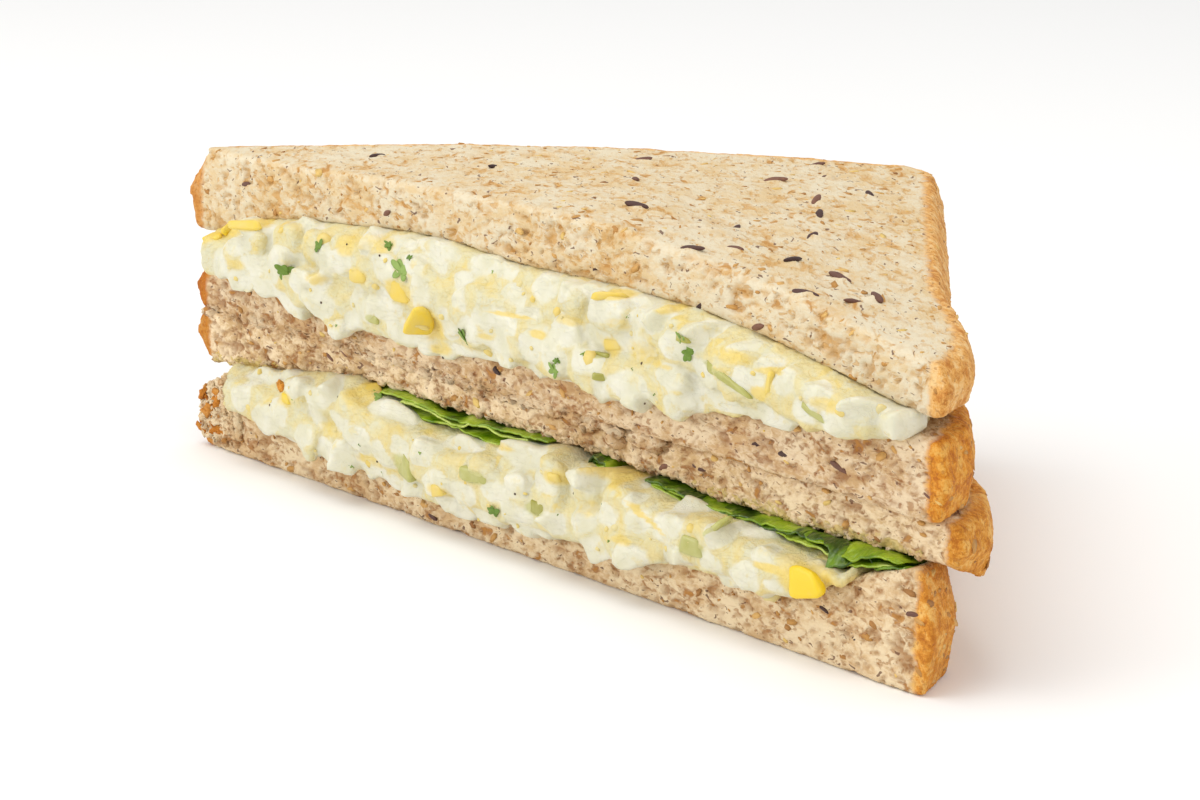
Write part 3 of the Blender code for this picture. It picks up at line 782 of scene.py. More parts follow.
def seedFinish():
    def mix(recipe):
        place = recipe.objectPlace()
        tone = recipe.attribute("tone")
        streak = recipe.noise(place, 0.5 * mm, 2.0)
        colour = recipe.ramp(
            tone * 0.8 + streak * 0.25,
            (0.1, (0.04, 0.018, 0.016)), (0.55, (0.10, 0.045, 0.035)), (0.85, (0.20, 0.09, 0.055)),
            (1.0, (0.38, 0.17, 0.06)),
        )
        return {
            "Base Color": colour, "Roughness": 0.55, "Specular IOR Level": 0.3,
            "Normal": recipe.bump(streak, 0.12 * mm, 0.7),
        }

    return finish("linseedCoat", mix)


def branFinish():
    def mix(recipe):
        tone = recipe.attribute("tone")
        colour = recipe.ramp(
            tone, (0.0, (0.32, 0.14, 0.04)), (0.35, (0.52, 0.26, 0.065)), (0.7, (0.66, 0.38, 0.12)),
            (0.95, (0.74, 0.52, 0.16)),
        )
        grain = recipe.noise(recipe.objectPlace(), 0.5 * mm, 2.0)
        return {
            "Base Color": colour, "Roughness": 0.8, "Normal": recipe.bump(grain, 0.1 * mm, 0.6),
        }

    return finish("branFlake", mix)


def makeSeeds():
    rng = random.Random(41)
    length, width, thick = (value * mm for value in seeds["size"])
    places = []

    def press(at, normal, spin, share=1.0):
        size = Vector((length, width, thick)) * rng.uniform(0.82, 1.1) * share
        lean = Matrix.Rotation(rng.uniform(-0.3, 0.3), 3, "Y")
        lean = lean @ Matrix.Rotation(rng.uniform(-0.4, 0.4), 3, "X")
        places.append({
            "at": at - normal * rng.uniform(0.05, 0.4) * mm,
            "turn": facing(normal, spin) @ lean, "size": size, "tone": rng.random(),
        })

    top = surfaceOf(slices["bread_top"])
    for x, y in seeds["top"]:
        at, normal = fromAbove(top, (x - loaf["planX"]) * mm, (y - loaf["planY"]) * mm)
        press(at, up, rng.uniform(0.0, math.pi))
    for node, marks in seeds["cut"].items():
        surface = surfaceOf(slices[node])
        for x, z in marks:
            at, normal = fromCut(surface, (x - loaf["planX"]) * mm, z * mm)
            if at:
                at.z = max(at.z, length * 0.4)
                press(at, outOfCut, rng.uniform(-0.6, 0.6), rng.uniform(0.7, 0.95))
    shapes = shapeSet("linseed", linseedShape, 4, 3)
    piece = layOut("linseeds", places, shapes, seedFinish(), 0.3 * mm, 1.6 * mm)
    handOver(piece, "seed")


def makeBran():
    rng = random.Random(43)
    places = []
    for node, slicePiece in slices.items():
        def shows(at, normal):
            if abs(normal.z) < 0.6:
                return at.z > branFlake["lowest"]
            return node == "bread_top" and normal.z > 0.0

        for at, normal in spots(slicePiece, branFlake["counts"][node], rng, shows, branFlake["gap"]):
            size = rng.choice(branFlake["sizes"]) * rng.uniform(0.8, 1.2) * mm
            places.append({
                "at": at - normal * 0.05 * mm,
                "turn": facing(normal, rng.uniform(-0.7, 0.7) * (2.2 if normal.z > 0.6 else 1.0)),
                "size": Vector((size, size * rng.uniform(0.35, 0.6), branFlake["thick"])),
                "tone": rng.random(),
            })
    shapes = shapeSet("bran", flakeShape, 6, 4)
    handOver(layOut("branFlakes", places, shapes, branFinish()), "seed")


makeSeeds()
makeBran()
print("seeds and bran ready")

# Egg salad
# What shows in the cut, by the place where the camera sees it there. Whites: x, z, length and
# height in mm. The rest has spin and tone too, and herbs have only x, z and length. Stains are
# yolk worked into the mash. Past its bareEnd, in mm along X, a filling lies further in.
fillings = {
    "egg_salad_upper": {
        "name": "upper", "seed": 71, "under": "bread_top", "bareEnd": -77.0,
        "whites": (
            (-52.7, 40, 8.5, 3.2), (-71.3, 35, 8, 2.5), (-19.5, 42, 11, 2.8), (-33.3, 31.3, 7.5, 2.4),
            (-28.6, 28.4, 6.5, 3.4), (-18, 31.4, 5, 4), (-53.8, 35, 4.2, 2), (-47.5, 33, 6, 2.4),
            (-29.2, 41, 7, 2.9), (-23.8, 35, 3.8, 4.4), (-62.9, 29.5, 12, 1.7), (-13, 38.4, 5.3, 2.8),
            (-3.8, 41.5, 4.4, 2.3), (-6, 34, 9.2, 2.8), (-17.3, 31.2, 5, 1.8), (-4.7, 30.8, 10, 2.3),
            (-10.8, 28.3, 9, 1.6), (9, 35, 6.5, 3.7), (18.4, 40.3, 7, 2.7), (27, 41.5, 9.3, 2.6),
            (1.2, 36.3, 4, 1.5), (24.6, 43.7, 3.3, 1.9), (13.5, 31.7, 5.7, 2.2), (23.2, 30, 9.5, 2.9),
            (32.8, 37, 6.3, 3.1), (32.5, 33, 5.7, 2.4), (39.6, 40, 9, 3.4), (46.5, 39.7, 4, 1.7),
            (40, 33, 9.5, 3.4), (42.2, 31.5, 6.6, 1.7), (47.8, 35.2, 5.2, 2.2), (54, 36.4, 4.3, 2.8),
            (57.7, 33.2, 3.5, 1.7), (69.8, 35.6, 7, 3), (76.8, 35.4, 5.8, 3.2),
        ),
        "celery": (
            (43, 34.7, 10, 1.1, -0.32, 0.4), (59.8, 33.3, 4.4, 1, -0.4, 0.6),
            (17.2, 33.3, 3.4, 0.7, 0.1, 0.2), (17.2, 30.1, 2.8, 0.9, 0, 0.2),
            (34.2, 38.7, 2.4, 0.8, -0.2, 0.3), (-36, 29, 2.8, 1.4, 0, 0.5),
        ),
        "herbs": (
            (-49.1, 38.2, 3), (-58.8, 32.6, 4), (-28.2, 37.8, 4.4), (-31.3, 41, 2), (-26.2, 40, 1.4),
            (-13.6, 30.5, 3.6), (7.4, 29.1, 2.6), (8, 30.8, 1.3), (36, 37.2, 3), (34, 38.7, 2.2),
            (13.9, 32.9, 1),
        ),
        "bright": (
            (-78.6, 35.3, 5, 2, 0.5, 0.6), (-74.4, 37.1, 5.5, 2, 0.32, 0.75),
            (-69.8, 38.1, 5.5, 1.7, 0.1, 0.55), (-29.3, 34.2, 5, 2.8, 0.1, 0.6),
            (-23.9, 30.4, 4.6, 4, -0.4, 0.7), (-39.8, 35, 3.6, 2.1, 0, 0.4),
            (19.8, 35, 3, 1.8, 0.2, 0.4), (19.1, 42, 5.6, 0.9, 0.05, 0.5),
            (51.4, 35.6, 1.2, 2.8, 0, 0.4),
        ),
        "stains": (
            (-29.3, 34.2, 8, 4, 0, 0.8), (-24, 30.1, 7, 5.5, 0, 0.9), (-39.8, 35, 5, 3, 0, 0.7),
            (-72, 31.5, 5, 2, 0, 0.6), (-52, 32.5, 4, 2, 0, 0.7), (-42.3, 39.2, 5, 3, 0, 0.8),
            (-18.5, 27.6, 5, 2, 0, 0.8), (-8.3, 31.3, 4, 1.2, 0, 0.7), (3.6, 33.7, 3.6, 1.2, 0, 1),
            (19.8, 35, 4, 2.4, 0, 0.9), (-2.9, 35.5, 9, 0.6, 0, 1), (21, 38.3, 4, 2, 0, 0.6),
            (10, 37, 6, 1.6, 0, 0.7), (31.4, 42.3, 2.4, 1.6, 0, 0.8), (26, 35.3, 7, 3.4, 0, 0.65),
            (30, 34.3, 6, 1, 0, 0.7), (49.8, 34, 3, 2, 0, 1), (44, 38, 8, 2, 0, 0.7),
            (62.3, 35, 7, 1.8, 0, 0.7), (52.5, 37.7, 5.6, 0.9, 0.1, 0.9), (-74, 37, 13, 3.2, 0.3, 0.9),
            (-36, 40.5, 9, 2.4, 0, 0.6),
        ),
    },
    "egg_salad_lower": {
        "name": "lower", "seed": 83, "under": "bread_third", "bareEnd": -72.0,
        "whites": (
            (-65, 14, 9, 3.3), (-46.8, 17.4, 6.4, 3.3), (-31.5, 15, 11, 4.4), (-45.6, 11.2, 5, 2.1),
            (-51.4, 13.6, 5.5, 2.1), (-14.3, 13.3, 9, 3.4), (-22.8, 11, 5.5, 2.9), (-14.3, 6.3, 6.7, 3),
            (-29.3, 10.4, 5, 2.3), (0.6, 15.5, 11.4, 3.2), (17.3, 15.6, 10, 2.9), (29, 17.7, 5.2, 1.9),
            (25, 14, 3.2, 1.2), (25.5, 11.3, 4, 2.2), (-6.4, 8.2, 7.4, 2.3), (7.7, 6.8, 7, 2.2),
            (18.7, 10.5, 3, 2.2), (-2.2, 6.1, 6.6, 2.3), (37.4, 15.5, 7, 2.9), (43.6, 14, 6.6, 3.2),
            (49.3, 15, 5.2, 2), (50.6, 12.2, 3.2, 2), (40, 8.8, 4.2, 1.8), (52.7, 8.4, 3.6, 1.1),
            (61, 13.2, 4, 1.4),
        ),
        "celery": (
            (-28.4, 7.4, 5, 3.6, -0.5, 0.5), (-11.9, 9.6, 5.6, 2.2, 0, 0.6),
            (3.2, 7.8, 4.5, 2.2, 0, 0.1), (36.3, 9.8, 4.4, 2.4, 0, 0.6),
            (41.2, 13.8, 5.4, 0.8, 0.8, 0.5),
        ),
        "herbs": ((-6.5, 5.4, 2.6), (-34.5, 17.2, 2.6)),
        "bright": (
            (58.5, 9.9, 6.4, 3.6, 0, 1), (-59.5, 12, 2.6, 1.7, 0, 0.8), (-37.1, 18, 3.6, 2, 0.2, 0.5),
            (7, 13.4, 2.8, 1.1, 0, 0.4), (-20.6, 5.4, 3.2, 1.6, 0, 0.4),
        ),
        "stains": (
            (58.5, 9.9, 9, 5, 0, 0.9), (-59.5, 12, 4.4, 2.6, 0, 0.8), (-20.6, 5.4, 5, 2.4, 0, 0.7),
            (-37, 6.7, 7, 2, 0, 0.7), (-47.6, 9.3, 7, 3, 0, 0.6), (7, 13.4, 5, 2, 0, 0.8),
            (14.4, 10.5, 4, 2.4, 0, 0.6), (23.7, 18.2, 8, 2.4, -0.2, 0.8), (27, 12, 9, 0.9, -0.35, 0.9),
            (22, 7.6, 4, 1.6, 0, 0.8), (0.6, 18, 9, 1.2, 0, 0.8), (51.8, 10.6, 6, 1.2, 0, 1),
            (69, 11.2, 4, 1.6, 0, 0.9), (-38, 17, 6, 3, 0, 0.7), (64, 11.5, 7, 2, 0, 0.5),
        ),
    },
}
# How much room each filling leaves under the bread above: places along X and gaps, in mm
slots = {
    "egg_salad_upper": ((-84, -0.3), (84, -0.3)),
    "egg_salad_lower": (
        (-78, -0.3), (-40, -0.3), (-36, 0.6), (-30, 1.2), (-22, 2.6), (-13, 2.8), (-1, 2.0), (4, 0.9),
        (7, 0.0), (10, 0.0), (12, 1.0), (17, 1.6), (20, 0.5), (26, 0.4), (33, 1.2), (43, 0.7),
        (50, 1.1), (58, 2.0), (67, 3.0), (76, 3.0),
    ),
}
mash = {
    "voxel": 0.5 * mm,
    "rounds": 8,
    "fuseRounds": 2,
    "swell": 0.65 * mm,
    "lump": (5.0 * mm, 0.8 * mm),
    "curd": (1.3 * mm, 0.35 * mm),
    "whites": 200,                # dice that are folded into the mash, past those in the table
    "whiteLength": (3.0, 8.0),    # mm
    "whiteDepth": 2.8,
    "proud": (-0.1, 0.3),
    "endMargins": (5.0 * mm, 9.0 * mm),    # no scattered dice this near the ends
    "looseWhites": 4,
    "looseLength": (2.5, 6.0),
    "looseProud": (0.0, 0.25),
    "edgeHigh": 2.6 * mm,
    "yolkBits": 20,
    "yolkCrumbs": 26,
    "pepper": 8,
    "flecks": 12,
}


def swellTree():
    def make(recipe, given):
        lumpSize, lumpDepth = mash["lump"]
        lumps = recipe.noise(recipe.add("GeometryNodeInputPosition"), lumpSize, 3.0, 0.55) - 0.5
        offset = recipe.scaled(recipe.add("GeometryNodeInputNormal"), mash["swell"] + lumps * lumpDepth)
        return recipe.add(
            "GeometryNodeSetPosition", None, {"Geometry": given["Geometry"], "Offset": offset}
        )

    return shapeTree("mashSwell", {}, make)


# Marks the folded-in whites, and gives the mash its curds
def curdTree():
    def make(recipe, given):
        place = recipe.add("GeometryNodeInputPosition")
        normal = recipe.add("GeometryNodeInputNormal")
        dice = recipe.add("GeometryNodeObjectInfo", None, {"Object": given["Whites"]}, "Geometry")
        near = recipe.add("GeometryNodeProximity", None, {"Geometry": dice}, "Distance")
        ragged = near + (recipe.noise(place, 1.2 * mm, 2.0) - 0.5) * 0.35 * mm
        white = 1.0 - recipe.step(ragged, 0.3 * mm, 0.85 * mm)
        curdSize, curdDepth = mash["curd"]
        curds = (0.45 - recipe.cells(place, curdSize)) * (1.0 - white * 0.85)
        marked = recipe.add(
            "GeometryNodeStoreNamedAttribute", {"data_type": "FLOAT", "domain": "POINT"},
            {"Geometry": given["Geometry"], "Name": "white", "Value": white},
        )
        return recipe.add(
            "GeometryNodeSetPosition", None,
            {"Geometry": marked, "Offset": recipe.scaled(normal, curds * curdDepth)},
        )

    return shapeTree("mashRelief", {"Whites": "NodeSocketObject"}, make)


def whiteColour(recipe, place):
    cloud = recipe.noise(place, 4.0 * mm, 2.0)
    return recipe.ramp(cloud, (0.35, (0.645, 0.62, 0.45)), (0.65, (0.72, 0.70, 0.57)))


def mashFinish():
    def mix(recipe):
        place = recipe.objectPlace()
        cream = recipe.noise(place, 3.6 * mm, 3.0, 0.55, 0.5)
        yolk = recipe.noise(place, 5.0 * mm, 3.0, 0.6, 0.8)
        fine = recipe.noise(place, 0.7 * mm, 2.0)
        colour = recipe.ramp(
            cream, (0.36, (0.69, 0.58, 0.27)), (0.5, (0.67, 0.60, 0.33)), (0.64, (0.64, 0.61, 0.42)),
        )
        colour = recipe.blend(recipe.step(yolk, 0.54, 0.7) * 0.7, colour, (0.71, 0.54, 0.13))
        # Painted shade in thin creases of the mash, which the bump also sinks.
        fold = recipe.noise(recipe.vector("MULTIPLY", place, (0.5, 1.0, 1.3)), 2.4 * mm, 2.0, 0.5, 1.2)
        creaseShade = (1.0 - recipe.step(recipe.maths("ABSOLUTE", fold - 0.5), 0.002, 0.016)) * 0.4
        colour = recipe.blend(creaseShade, colour, (0.66, 0.50, 0.14))
        white = recipe.attribute("white")
        film = recipe.step(recipe.noise(place, 2.6 * mm, 4.0, 0.65), 0.54, 0.68) * 0.6
        colour = recipe.blend(white * (1.0 - film), colour, whiteColour(recipe, place))
        rim = recipe.step(white, 0.15, 0.45) * (1.0 - recipe.step(white, 0.5, 0.9))
        colour = recipe.blend(rim * recipe.step(yolk, 0.44, 0.6) * 0.5, colour, (0.68, 0.54, 0.18))
        edge = (recipe.noise(place, 1.6 * mm, 3.0) - 0.5) * 0.7
        stain = recipe.step(recipe.attribute("stain") + edge, 0.25, 0.9)
        colour = recipe.blend(stain * 0.85, colour, (0.74, 0.56, 0.13))
        celery = recipe.step(recipe.attribute("celery") + edge * 0.6, 0.3, 0.8)
        colour = recipe.blend(celery * 0.8, colour, (0.50, 0.49, 0.18))
        height = (fine + recipe.noise(place, 1.4 * mm, 4.0, 0.6)) * (1.0 - white * 0.6) - creaseShade * 0.6
        return {
            "Base Color": colour,
            "Roughness": 0.42 + fine * 0.2 - white * 0.1,
            "Subsurface Weight": 0.2,
            "Subsurface Radius": (1.0, 0.85, 0.5),
            "Subsurface Scale": 1.6 * mm,
            "Coat Weight": 0.1,
            "Coat Roughness": 0.3,
            "Normal": recipe.bump(height, 0.32 * mm, 0.6),
        }

    return finish("creamyMash", mix)


def whiteFinish():
    def mix(recipe):
        place = recipe.objectPlace()
        film = recipe.step(recipe.noise(place, 2.6 * mm, 4.0, 0.65), 0.5, 0.66)
        colour = recipe.blend(film * 0.7, whiteColour(recipe, place), (0.72, 0.64, 0.33))
        height = recipe.noise(place, 1.2 * mm, 2.0) + film * 0.5
        return {
            "Base Color": colour,
            "Roughness": 0.32 + film * 0.15,
            "Subsurface Weight": 0.25,
            "Subsurface Radius": (1.0, 0.95, 0.8),
            "Subsurface Scale": 2.0 * mm,
            "Coat Weight": 0.12,
            "Coat Roughness": 0.25,
            "Normal": recipe.bump(height, 0.2 * mm, 0.6),
        }

    return finish("eggWhite", mix)


def plainPieceFinish(name, stops, roughness, coat=0.1, grainSize=0.6 * mm, subsurface=0.0):
    def mix(recipe):
        place = recipe.objectPlace()
        grain = recipe.noise(place, grainSize, 2.0)
        colour = recipe.ramp(recipe.attribute("tone") * 0.6 + grain * 0.4, *stops)
        return {
            "Base Color": colour, "Roughness": roughness, "Coat Weight": coat,
            "Subsurface Weight": subsurface, "Subsurface Radius": (0.8, 1.0, 0.4),
            "Subsurface Scale": 1.5 * mm, "Normal": recipe.bump(grain, 0.12 * mm, 0.6),
        }

    return finish(name, mix)


yolkPaint = plainPieceFinish(
    "yolkCrumble", ((0.2, (0.72, 0.54, 0.13)), (0.5, (0.71, 0.57, 0.20)), (0.8, (0.68, 0.59, 0.30))), 0.6
)
celeryPaint = plainPieceFinish(
    "celeryFlesh", ((0.2, (0.30, 0.28, 0.03)), (0.5, (0.42, 0.41, 0.11)), (0.8, (0.54, 0.53, 0.26))),
    0.3, 0.15, 1.5 * mm, 0.2,
)
herbPaint = plainPieceFinish(
    "herbLeaf", ((0.1, (0.05, 0.11, 0.008)), (0.5, (0.13, 0.23, 0.02)), (0.9, (0.28, 0.40, 0.09))), 0.6, 0.0
)
pepperPaint = plainPieceFinish(
    "pepperGrain", ((0.1, (0.03, 0.02, 0.015)), (0.6, (0.10, 0.06, 0.03)), (0.9, (0.24, 0.15, 0.07))), 0.7
)
brightPaint = plainPieceFinish(
    "yellowDice", ((0.35, (0.70, 0.54, 0.16)), (0.6, (0.74, 0.54, 0.07)), (0.75, (0.82, 0.57, 0.012))),
    0.45, 0.08, 1.5 * mm, 0.2,
)
mashPaint = mashFinish()
whitePaint = whiteFinish()
mashSwell = swellTree()
mashRelief = curdTree()
whiteShapes = shapeSet("white", lambda name, rng: chunkShape(name, rng, rng.randint(4, 6), 0.1), 12, 12)
crumbleShapes = shapeSet("crumble", lumpShape, 6, 13)
herbShapes = shapeSet("herb", herbShape, 4, 14)
barShapes = shapeSet("bar", lambda name, rng: chunkShape(name, rng, 4, 0.18), 4, 15)


edgeRise = {
    "most": 2.6,              # mm, as the rest
    "least": -1.2,
    "deep": 8.0,              # from the cut, where the raising ends
    "high": 3.0,              # under the top, where it starts
    "fade": 4.0,
    "setBack": 4.0,           # how far the filling lies further in past its bareEnd
}


# Lifts the filling's upper front edge, so that it leaves only its slot under the bread
def riseToBread(core, bread, slot, bareEnd):
    above = surfaceOf(bread)
    own = surfaceOf(core)
    xs, gaps = zip(*slot)
    steps = list(range(xs[0], xs[-1] + 1))
    tops = []
    raises = []
    for step in steps:
        top = own.ray_cast(Vector((step * mm, cutY + 3.0 * mm, 0.2)), -up)[0]
        start = Vector((step * mm, cutY + 4.5 * mm, top.z - 2.0 * mm)) if top else None
        over = above.ray_cast(start, up)[0] if top else None
        if not over:
            tops.append(0.0)
            raises.append(0.0)
            continue
        wanted = over.z / mm - float(np.interp(step, xs, gaps)) - mash["swell"] / mm
        tops.append(top.z / mm)
        raises.append(min(edgeRise["most"], max(edgeRise["least"], wanted - top.z / mm)))
    points = pointsOf(core.data)
    x = points[:, 0] / mm
    top = np.interp(x, steps, tops)
    raised = np.interp(x, steps, raises, 0.0, 0.0)
    high = np.clip((points[:, 2] / mm - (top - edgeRise["high"])) / edgeRise["high"], 0.0, 1.0)
    deep = edgeRise["deep"] * mm
    front = np.clip(1.0 - (points[:, 1] - cutY) / deep, 0.0, 1.0)
    behind = np.clip((bareEnd - x) / edgeRise["fade"], 0.0, 1.0) * edgeRise["setBack"] * mm
    points[:, 1] += np.where(points[:, 1] < cutY + deep, behind, 0.0)
    points[:, 2] += raised * mm * high * high * (3.0 - 2.0 * high) * np.sqrt(front)
    core.data.vertices.foreach_set("co", points.ravel())
    core.data.update()


def stainsOn(points, marks, onCut):
    x = points[:, 0] / mm
    z = points[:, 2] / mm
    amount = np.zeros(len(points))
    for atX, atZ, length, height, spin, tone in marks:
        at = onCut(atX, atZ)
        if not at:
            continue
        outX = x - at.x / mm
        outZ = z - at.z / mm
        along = outX * math.cos(spin) + outZ * math.sin(spin)
        across = outZ * math.cos(spin) - outX * math.sin(spin)
        reach = np.hypot(along * 2.0 / length, across * 2.0 / height)
        amount = np.maximum(amount, tone * np.clip((1.5 - reach) / 0.8, 0.0, 1.0))
    return amount * (points[:, 1] < cutY + mash["whiteDepth"] * 2.0 * mm)


def makeFilling(node, facts):
    rng = random.Random(facts["seed"])
    name = facts["name"]
    core = softCopy(node, name + "Mash", mash["voxel"], mash["rounds"])
    calm = surfaceOf(core)
    riseToBread(core, slices[facts["under"]], slots[node], facts["bareEnd"])
    throughTree(core, mashSwell, {"Material": mashPaint})
    inside = surfaceOf(core)
    lowX, highX = (corner[0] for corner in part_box(node))
    leftMargin, rightMargin = mash["endMargins"]

    # How much filling lies over or under a place just inside the surface
    def depthTo(at, normal, way):
        return inside.ray_cast(at - normal * 0.8 * mm, way)[3] or 0.0

    def room(at, normal):
        return min(depthTo(at, normal, up), depthTo(at, normal, -up))

    def nearEnd(at):
        return at.x < lowX + leftMargin or at.x > highX - rightMargin

    def nearLowerEdge(at, normal):
        return depthTo(at, normal, -up) < mash["edgeHigh"]

    taken = []

    def isFree(at, radius):
        return all((at - other).length > 0.8 * (radius + far) for other, far in taken)

    def onCut(x, z):
        return asSeen(inside, x * mm, z * mm)[0]

    def put(places, at, normal, size, spin, tone, proud):
        places.append({
            "at": at + normal * (proud * mm - 0.5 * size[2] * mm),
            "turn": facing(normal, spin), "size": Vector(size) * mm, "tone": tone,
        })

    # The way the filling faces there without its lumps, and nearly upright
    def calmNormal(at):
        normal = calm.find_nearest(at)[1]
        return (normal + Vector((0.0, 0.0, -normal.z * 0.8))).normalized()

    for kind in ("celery", "bright"):
        for x, z, length, height, spin, tone in facts[kind]:
            at = onCut(x, z)
            if at:
                taken.append((at, 0.45 * math.sqrt(length * height) * mm))

    def dice(count, lengths, proud, keep):
        places = []
        faces = core.data.polygons
        short, long = lengths
        for _ in range(count * 30):
            if len(places) >= count:
                break
            large = 1.0 - len(places) / count
            length = short + (long - short) * large * rng.uniform(0.75, 1.0)
            width = length * rng.uniform(0.5, 0.85)
            face = faces[rng.randrange(len(faces))]
            at = face.center.copy()
            if abs(face.normal.z) > 0.55 or not keep(at, face.normal) or nearEnd(at):
                continue
            width = min(width, 2.0 * (room(at, face.normal) / mm + 0.7))
            length = min(length, width * 2.6)
            radius = 0.5 * math.sqrt(length * width) * mm
            if width < 1.5 or not isFree(at, radius):
                continue
            taken.append((at, radius))
            size = (length, width, mash["whiteDepth"])
            spin = rng.uniform(-0.5, 0.5)
            put(places, at, calmNormal(at), size, spin, rng.random(), rng.uniform(*proud))
        return places

    folded = []
    for x, z, length, height in facts["whites"]:
        at = onCut(x, z)
        if at:
            size = (length * 1.15, height * 1.25, mash["whiteDepth"])
            spin = rng.uniform(-0.2, 0.2)
            put(folded, at, calmNormal(at), size, spin, rng.random(), rng.uniform(*mash["proud"]))
            for side in (-0.3, 0.3):
                taken.append((at + Vector((side * length * mm, 0.0, 0.0)), 0.5 * height * mm))
    folded += dice(mash["whites"], mash["whiteLength"], mash["proud"], lambda at, normal: True)
    whites = layOut(name + "Folded", folded, whiteShapes, whitePaint, 0.8 * mm, 4.0 * mm)
    fuse(core, whites, mash["voxel"], mash["fuseRounds"])
    throughTree(core, mashRelief, {"Material": mashPaint, "Whites": whites})
    bpy.data.objects.remove(whites)
    inside = surfaceOf(core)
    yellow = facts["stains"] + tuple((*mark[:5], 1.0) for mark in facts["bright"])
    green = tuple((*mark[:5], 0.9) for mark in facts["celery"])
    for label, marks in (("stain", yellow), ("celery", green)):
        setAttribute(core.data, label, "FLOAT", "value", stainsOn(pointsOf(core.data), marks, onCut))
    handOver(core, "egg_salad", node)

    taken.clear()
    inlay = {"celery": [], "bright": []}
    for kind, places in inlay.items():
        for x, z, length, height, spin, tone in facts[kind]:
            at = onCut(x, z)
            if at:
                put(places, at, calmNormal(at), (1.2 * length, 1.2 * height, 2.0), spin, tone, 0.2)
                taken.append((at, 0.5 * length * mm))
    dropped = dice(mash["looseWhites"], mash["looseLength"], mash["looseProud"], nearLowerEdge)
    whitePiece = layOut(name + "Whites", dropped, whiteShapes, whitePaint, 1.0 * mm, 3.0 * mm)
    handOver(whitePiece, "egg_white")
    covered = surfaceOf(whitePiece)
    skin = surfaceOf(core, whitePiece)
    probe = 3.0 * mm

    def isBare(at, normal):
        hit = covered.ray_cast(at + normal * probe, -normal, 4.0 * mm)
        return hit[0] is None or hit[3] > 2.7 * mm

    def sideOnly(at, normal):
        return abs(normal.z) < 0.6

    def onSkin(count, gap):
        for at, normal in spots(core, count, rng, sideOnly, gap):
            hit = skin.ray_cast(at + normal * probe, -normal)[0]
            if hit:
                yield hit, normal

    bits = []

    def crumble(count, sizes, gap, proud):
        for at, normal in spots(core, count, rng, sideOnly, gap):
            if isBare(at, normal):
                size = rng.choice(sizes) * rng.uniform(0.8, 1.2)
                shape = (size, size * rng.uniform(0.6, 0.9), size * 0.8)
                put(bits, at, normal, shape, rng.uniform(-0.6, 0.6), rng.random(), proud * size)

    crumble(mash["yolkBits"], (1.6, 2.0, 2.8), 3.0 * mm, 0.12)
    crumble(mash["yolkCrumbs"], (0.6, 0.8, 1.0), 1.0 * mm, 0.3)
    handOver(layOut(name + "YolkBits", bits, crumbleShapes, yolkPaint, 0.5 * mm, 1.0 * mm), "egg_salad")

    herbs = []
    for x, z, length in facts["herbs"]:
        at, normal = asSeen(skin, x * mm, z * mm)
        if at:
            put(herbs, at, normal, (1.2 * length, length, 1.2), rng.uniform(-1.0, 1.0), rng.random(), 0.7)
    for at, normal in onSkin(mash["flecks"], 4.0 * mm):
        put(herbs, at, normal, (1.0, 0.8, 0.5), rng.uniform(-1.5, 1.5), rng.random(), 0.2)
    handOver(layOut(name + "Herbs", herbs, herbShapes, herbPaint), "lettuce")

    pepper = []
    for at, normal in onSkin(mash["pepper"], 3.0 * mm):
        size = rng.uniform(0.3, 0.6)
        put(pepper, at, normal, (size, size, size * 0.7), 0.0, rng.random(), 0.15)
    handOver(layOut(name + "Pepper", pepper, crumbleShapes, pepperPaint), "seed")
    for kind, label, paint, slot in (
        ("celery", "Celery", celeryPaint, "celery"), ("bright", "YellowDice", brightPaint, "egg_salad"),
    ):
        handOver(layOut(name + label, inlay[kind], barShapes, paint, 0.8 * mm, 3.0 * mm), slot)
    return core


mashes = {}
for node, facts in fillings.items():
    mashes[node] = makeFilling(node, facts)
    print(facts["name"], "filling ready")


# Loose crumb: in the seam of the two middle slices, along the third one's lower edge, where
# dressing has soaked in, and at the torn -X end, with flakes of crust. Along X and Z in mm.
loose = {
    "deep": 20.0,                   # mm inside the crust, where it has no browning
    "seam": {"count": 330, "x": (-82.0, 30.0), "sizes": (0.9, 1.3, 1.8, 2.4)},
    "edge": {"count": 380, "x": (-80.0, 77.0), "sizes": (0.7, 1.0, 1.4), "rise": (0.1, 1.6)},
    "torn": {"count": 420, "x": (-82.5, -72.0), "sizes": (0.7, 1.0, 1.5), "proud": 0.1, "thick": 0.8},
    "flakes": {"count": 34, "x": (-83.0, -77.5), "sizes": (0.8, 1.2, 1.9), "proud": 0.3, "thick": 0.4},
    "tornZ": (2.0, 14.0),
    "endX": -83.5,                  # the tip's outermost crumb
    "fleck": (-60.5, 14.0),         # an orange fleck on the lower filling
}


def crumbShape(name, rng):
    return lumpShape(name, rng, 0.9)


def crumbAt(rng, at, size, swing, thick=1.0, lean=Matrix.Identity(3)):
    return {
        "at": at, "turn": facing(outOfCut, rng.uniform(-swing, swing)) @ lean,
        "size": Vector((size * 1.4, size * 0.9, size * thick)), "tone": rng.random(),
    }


# Crumb takes the finish of its slice, from inside the crust or from the crust itself
def crumbPiece(name, places, node, depth, slot, smeared=0.0):
    shapes = shapeSet(name, crumbShape, 5, 21)
    piece = layOut(name, places, shapes, slices[node].data.materials[0], 0.5 * mm, 1.2 * mm)
    for label, value in (("crustDepth", depth), ("pit", 0.0), ("smear", smeared)):
        setAttribute(piece.data, label, "FLOAT", "value", [value] * len(piece.data.vertices))
    handOver(piece, slot)


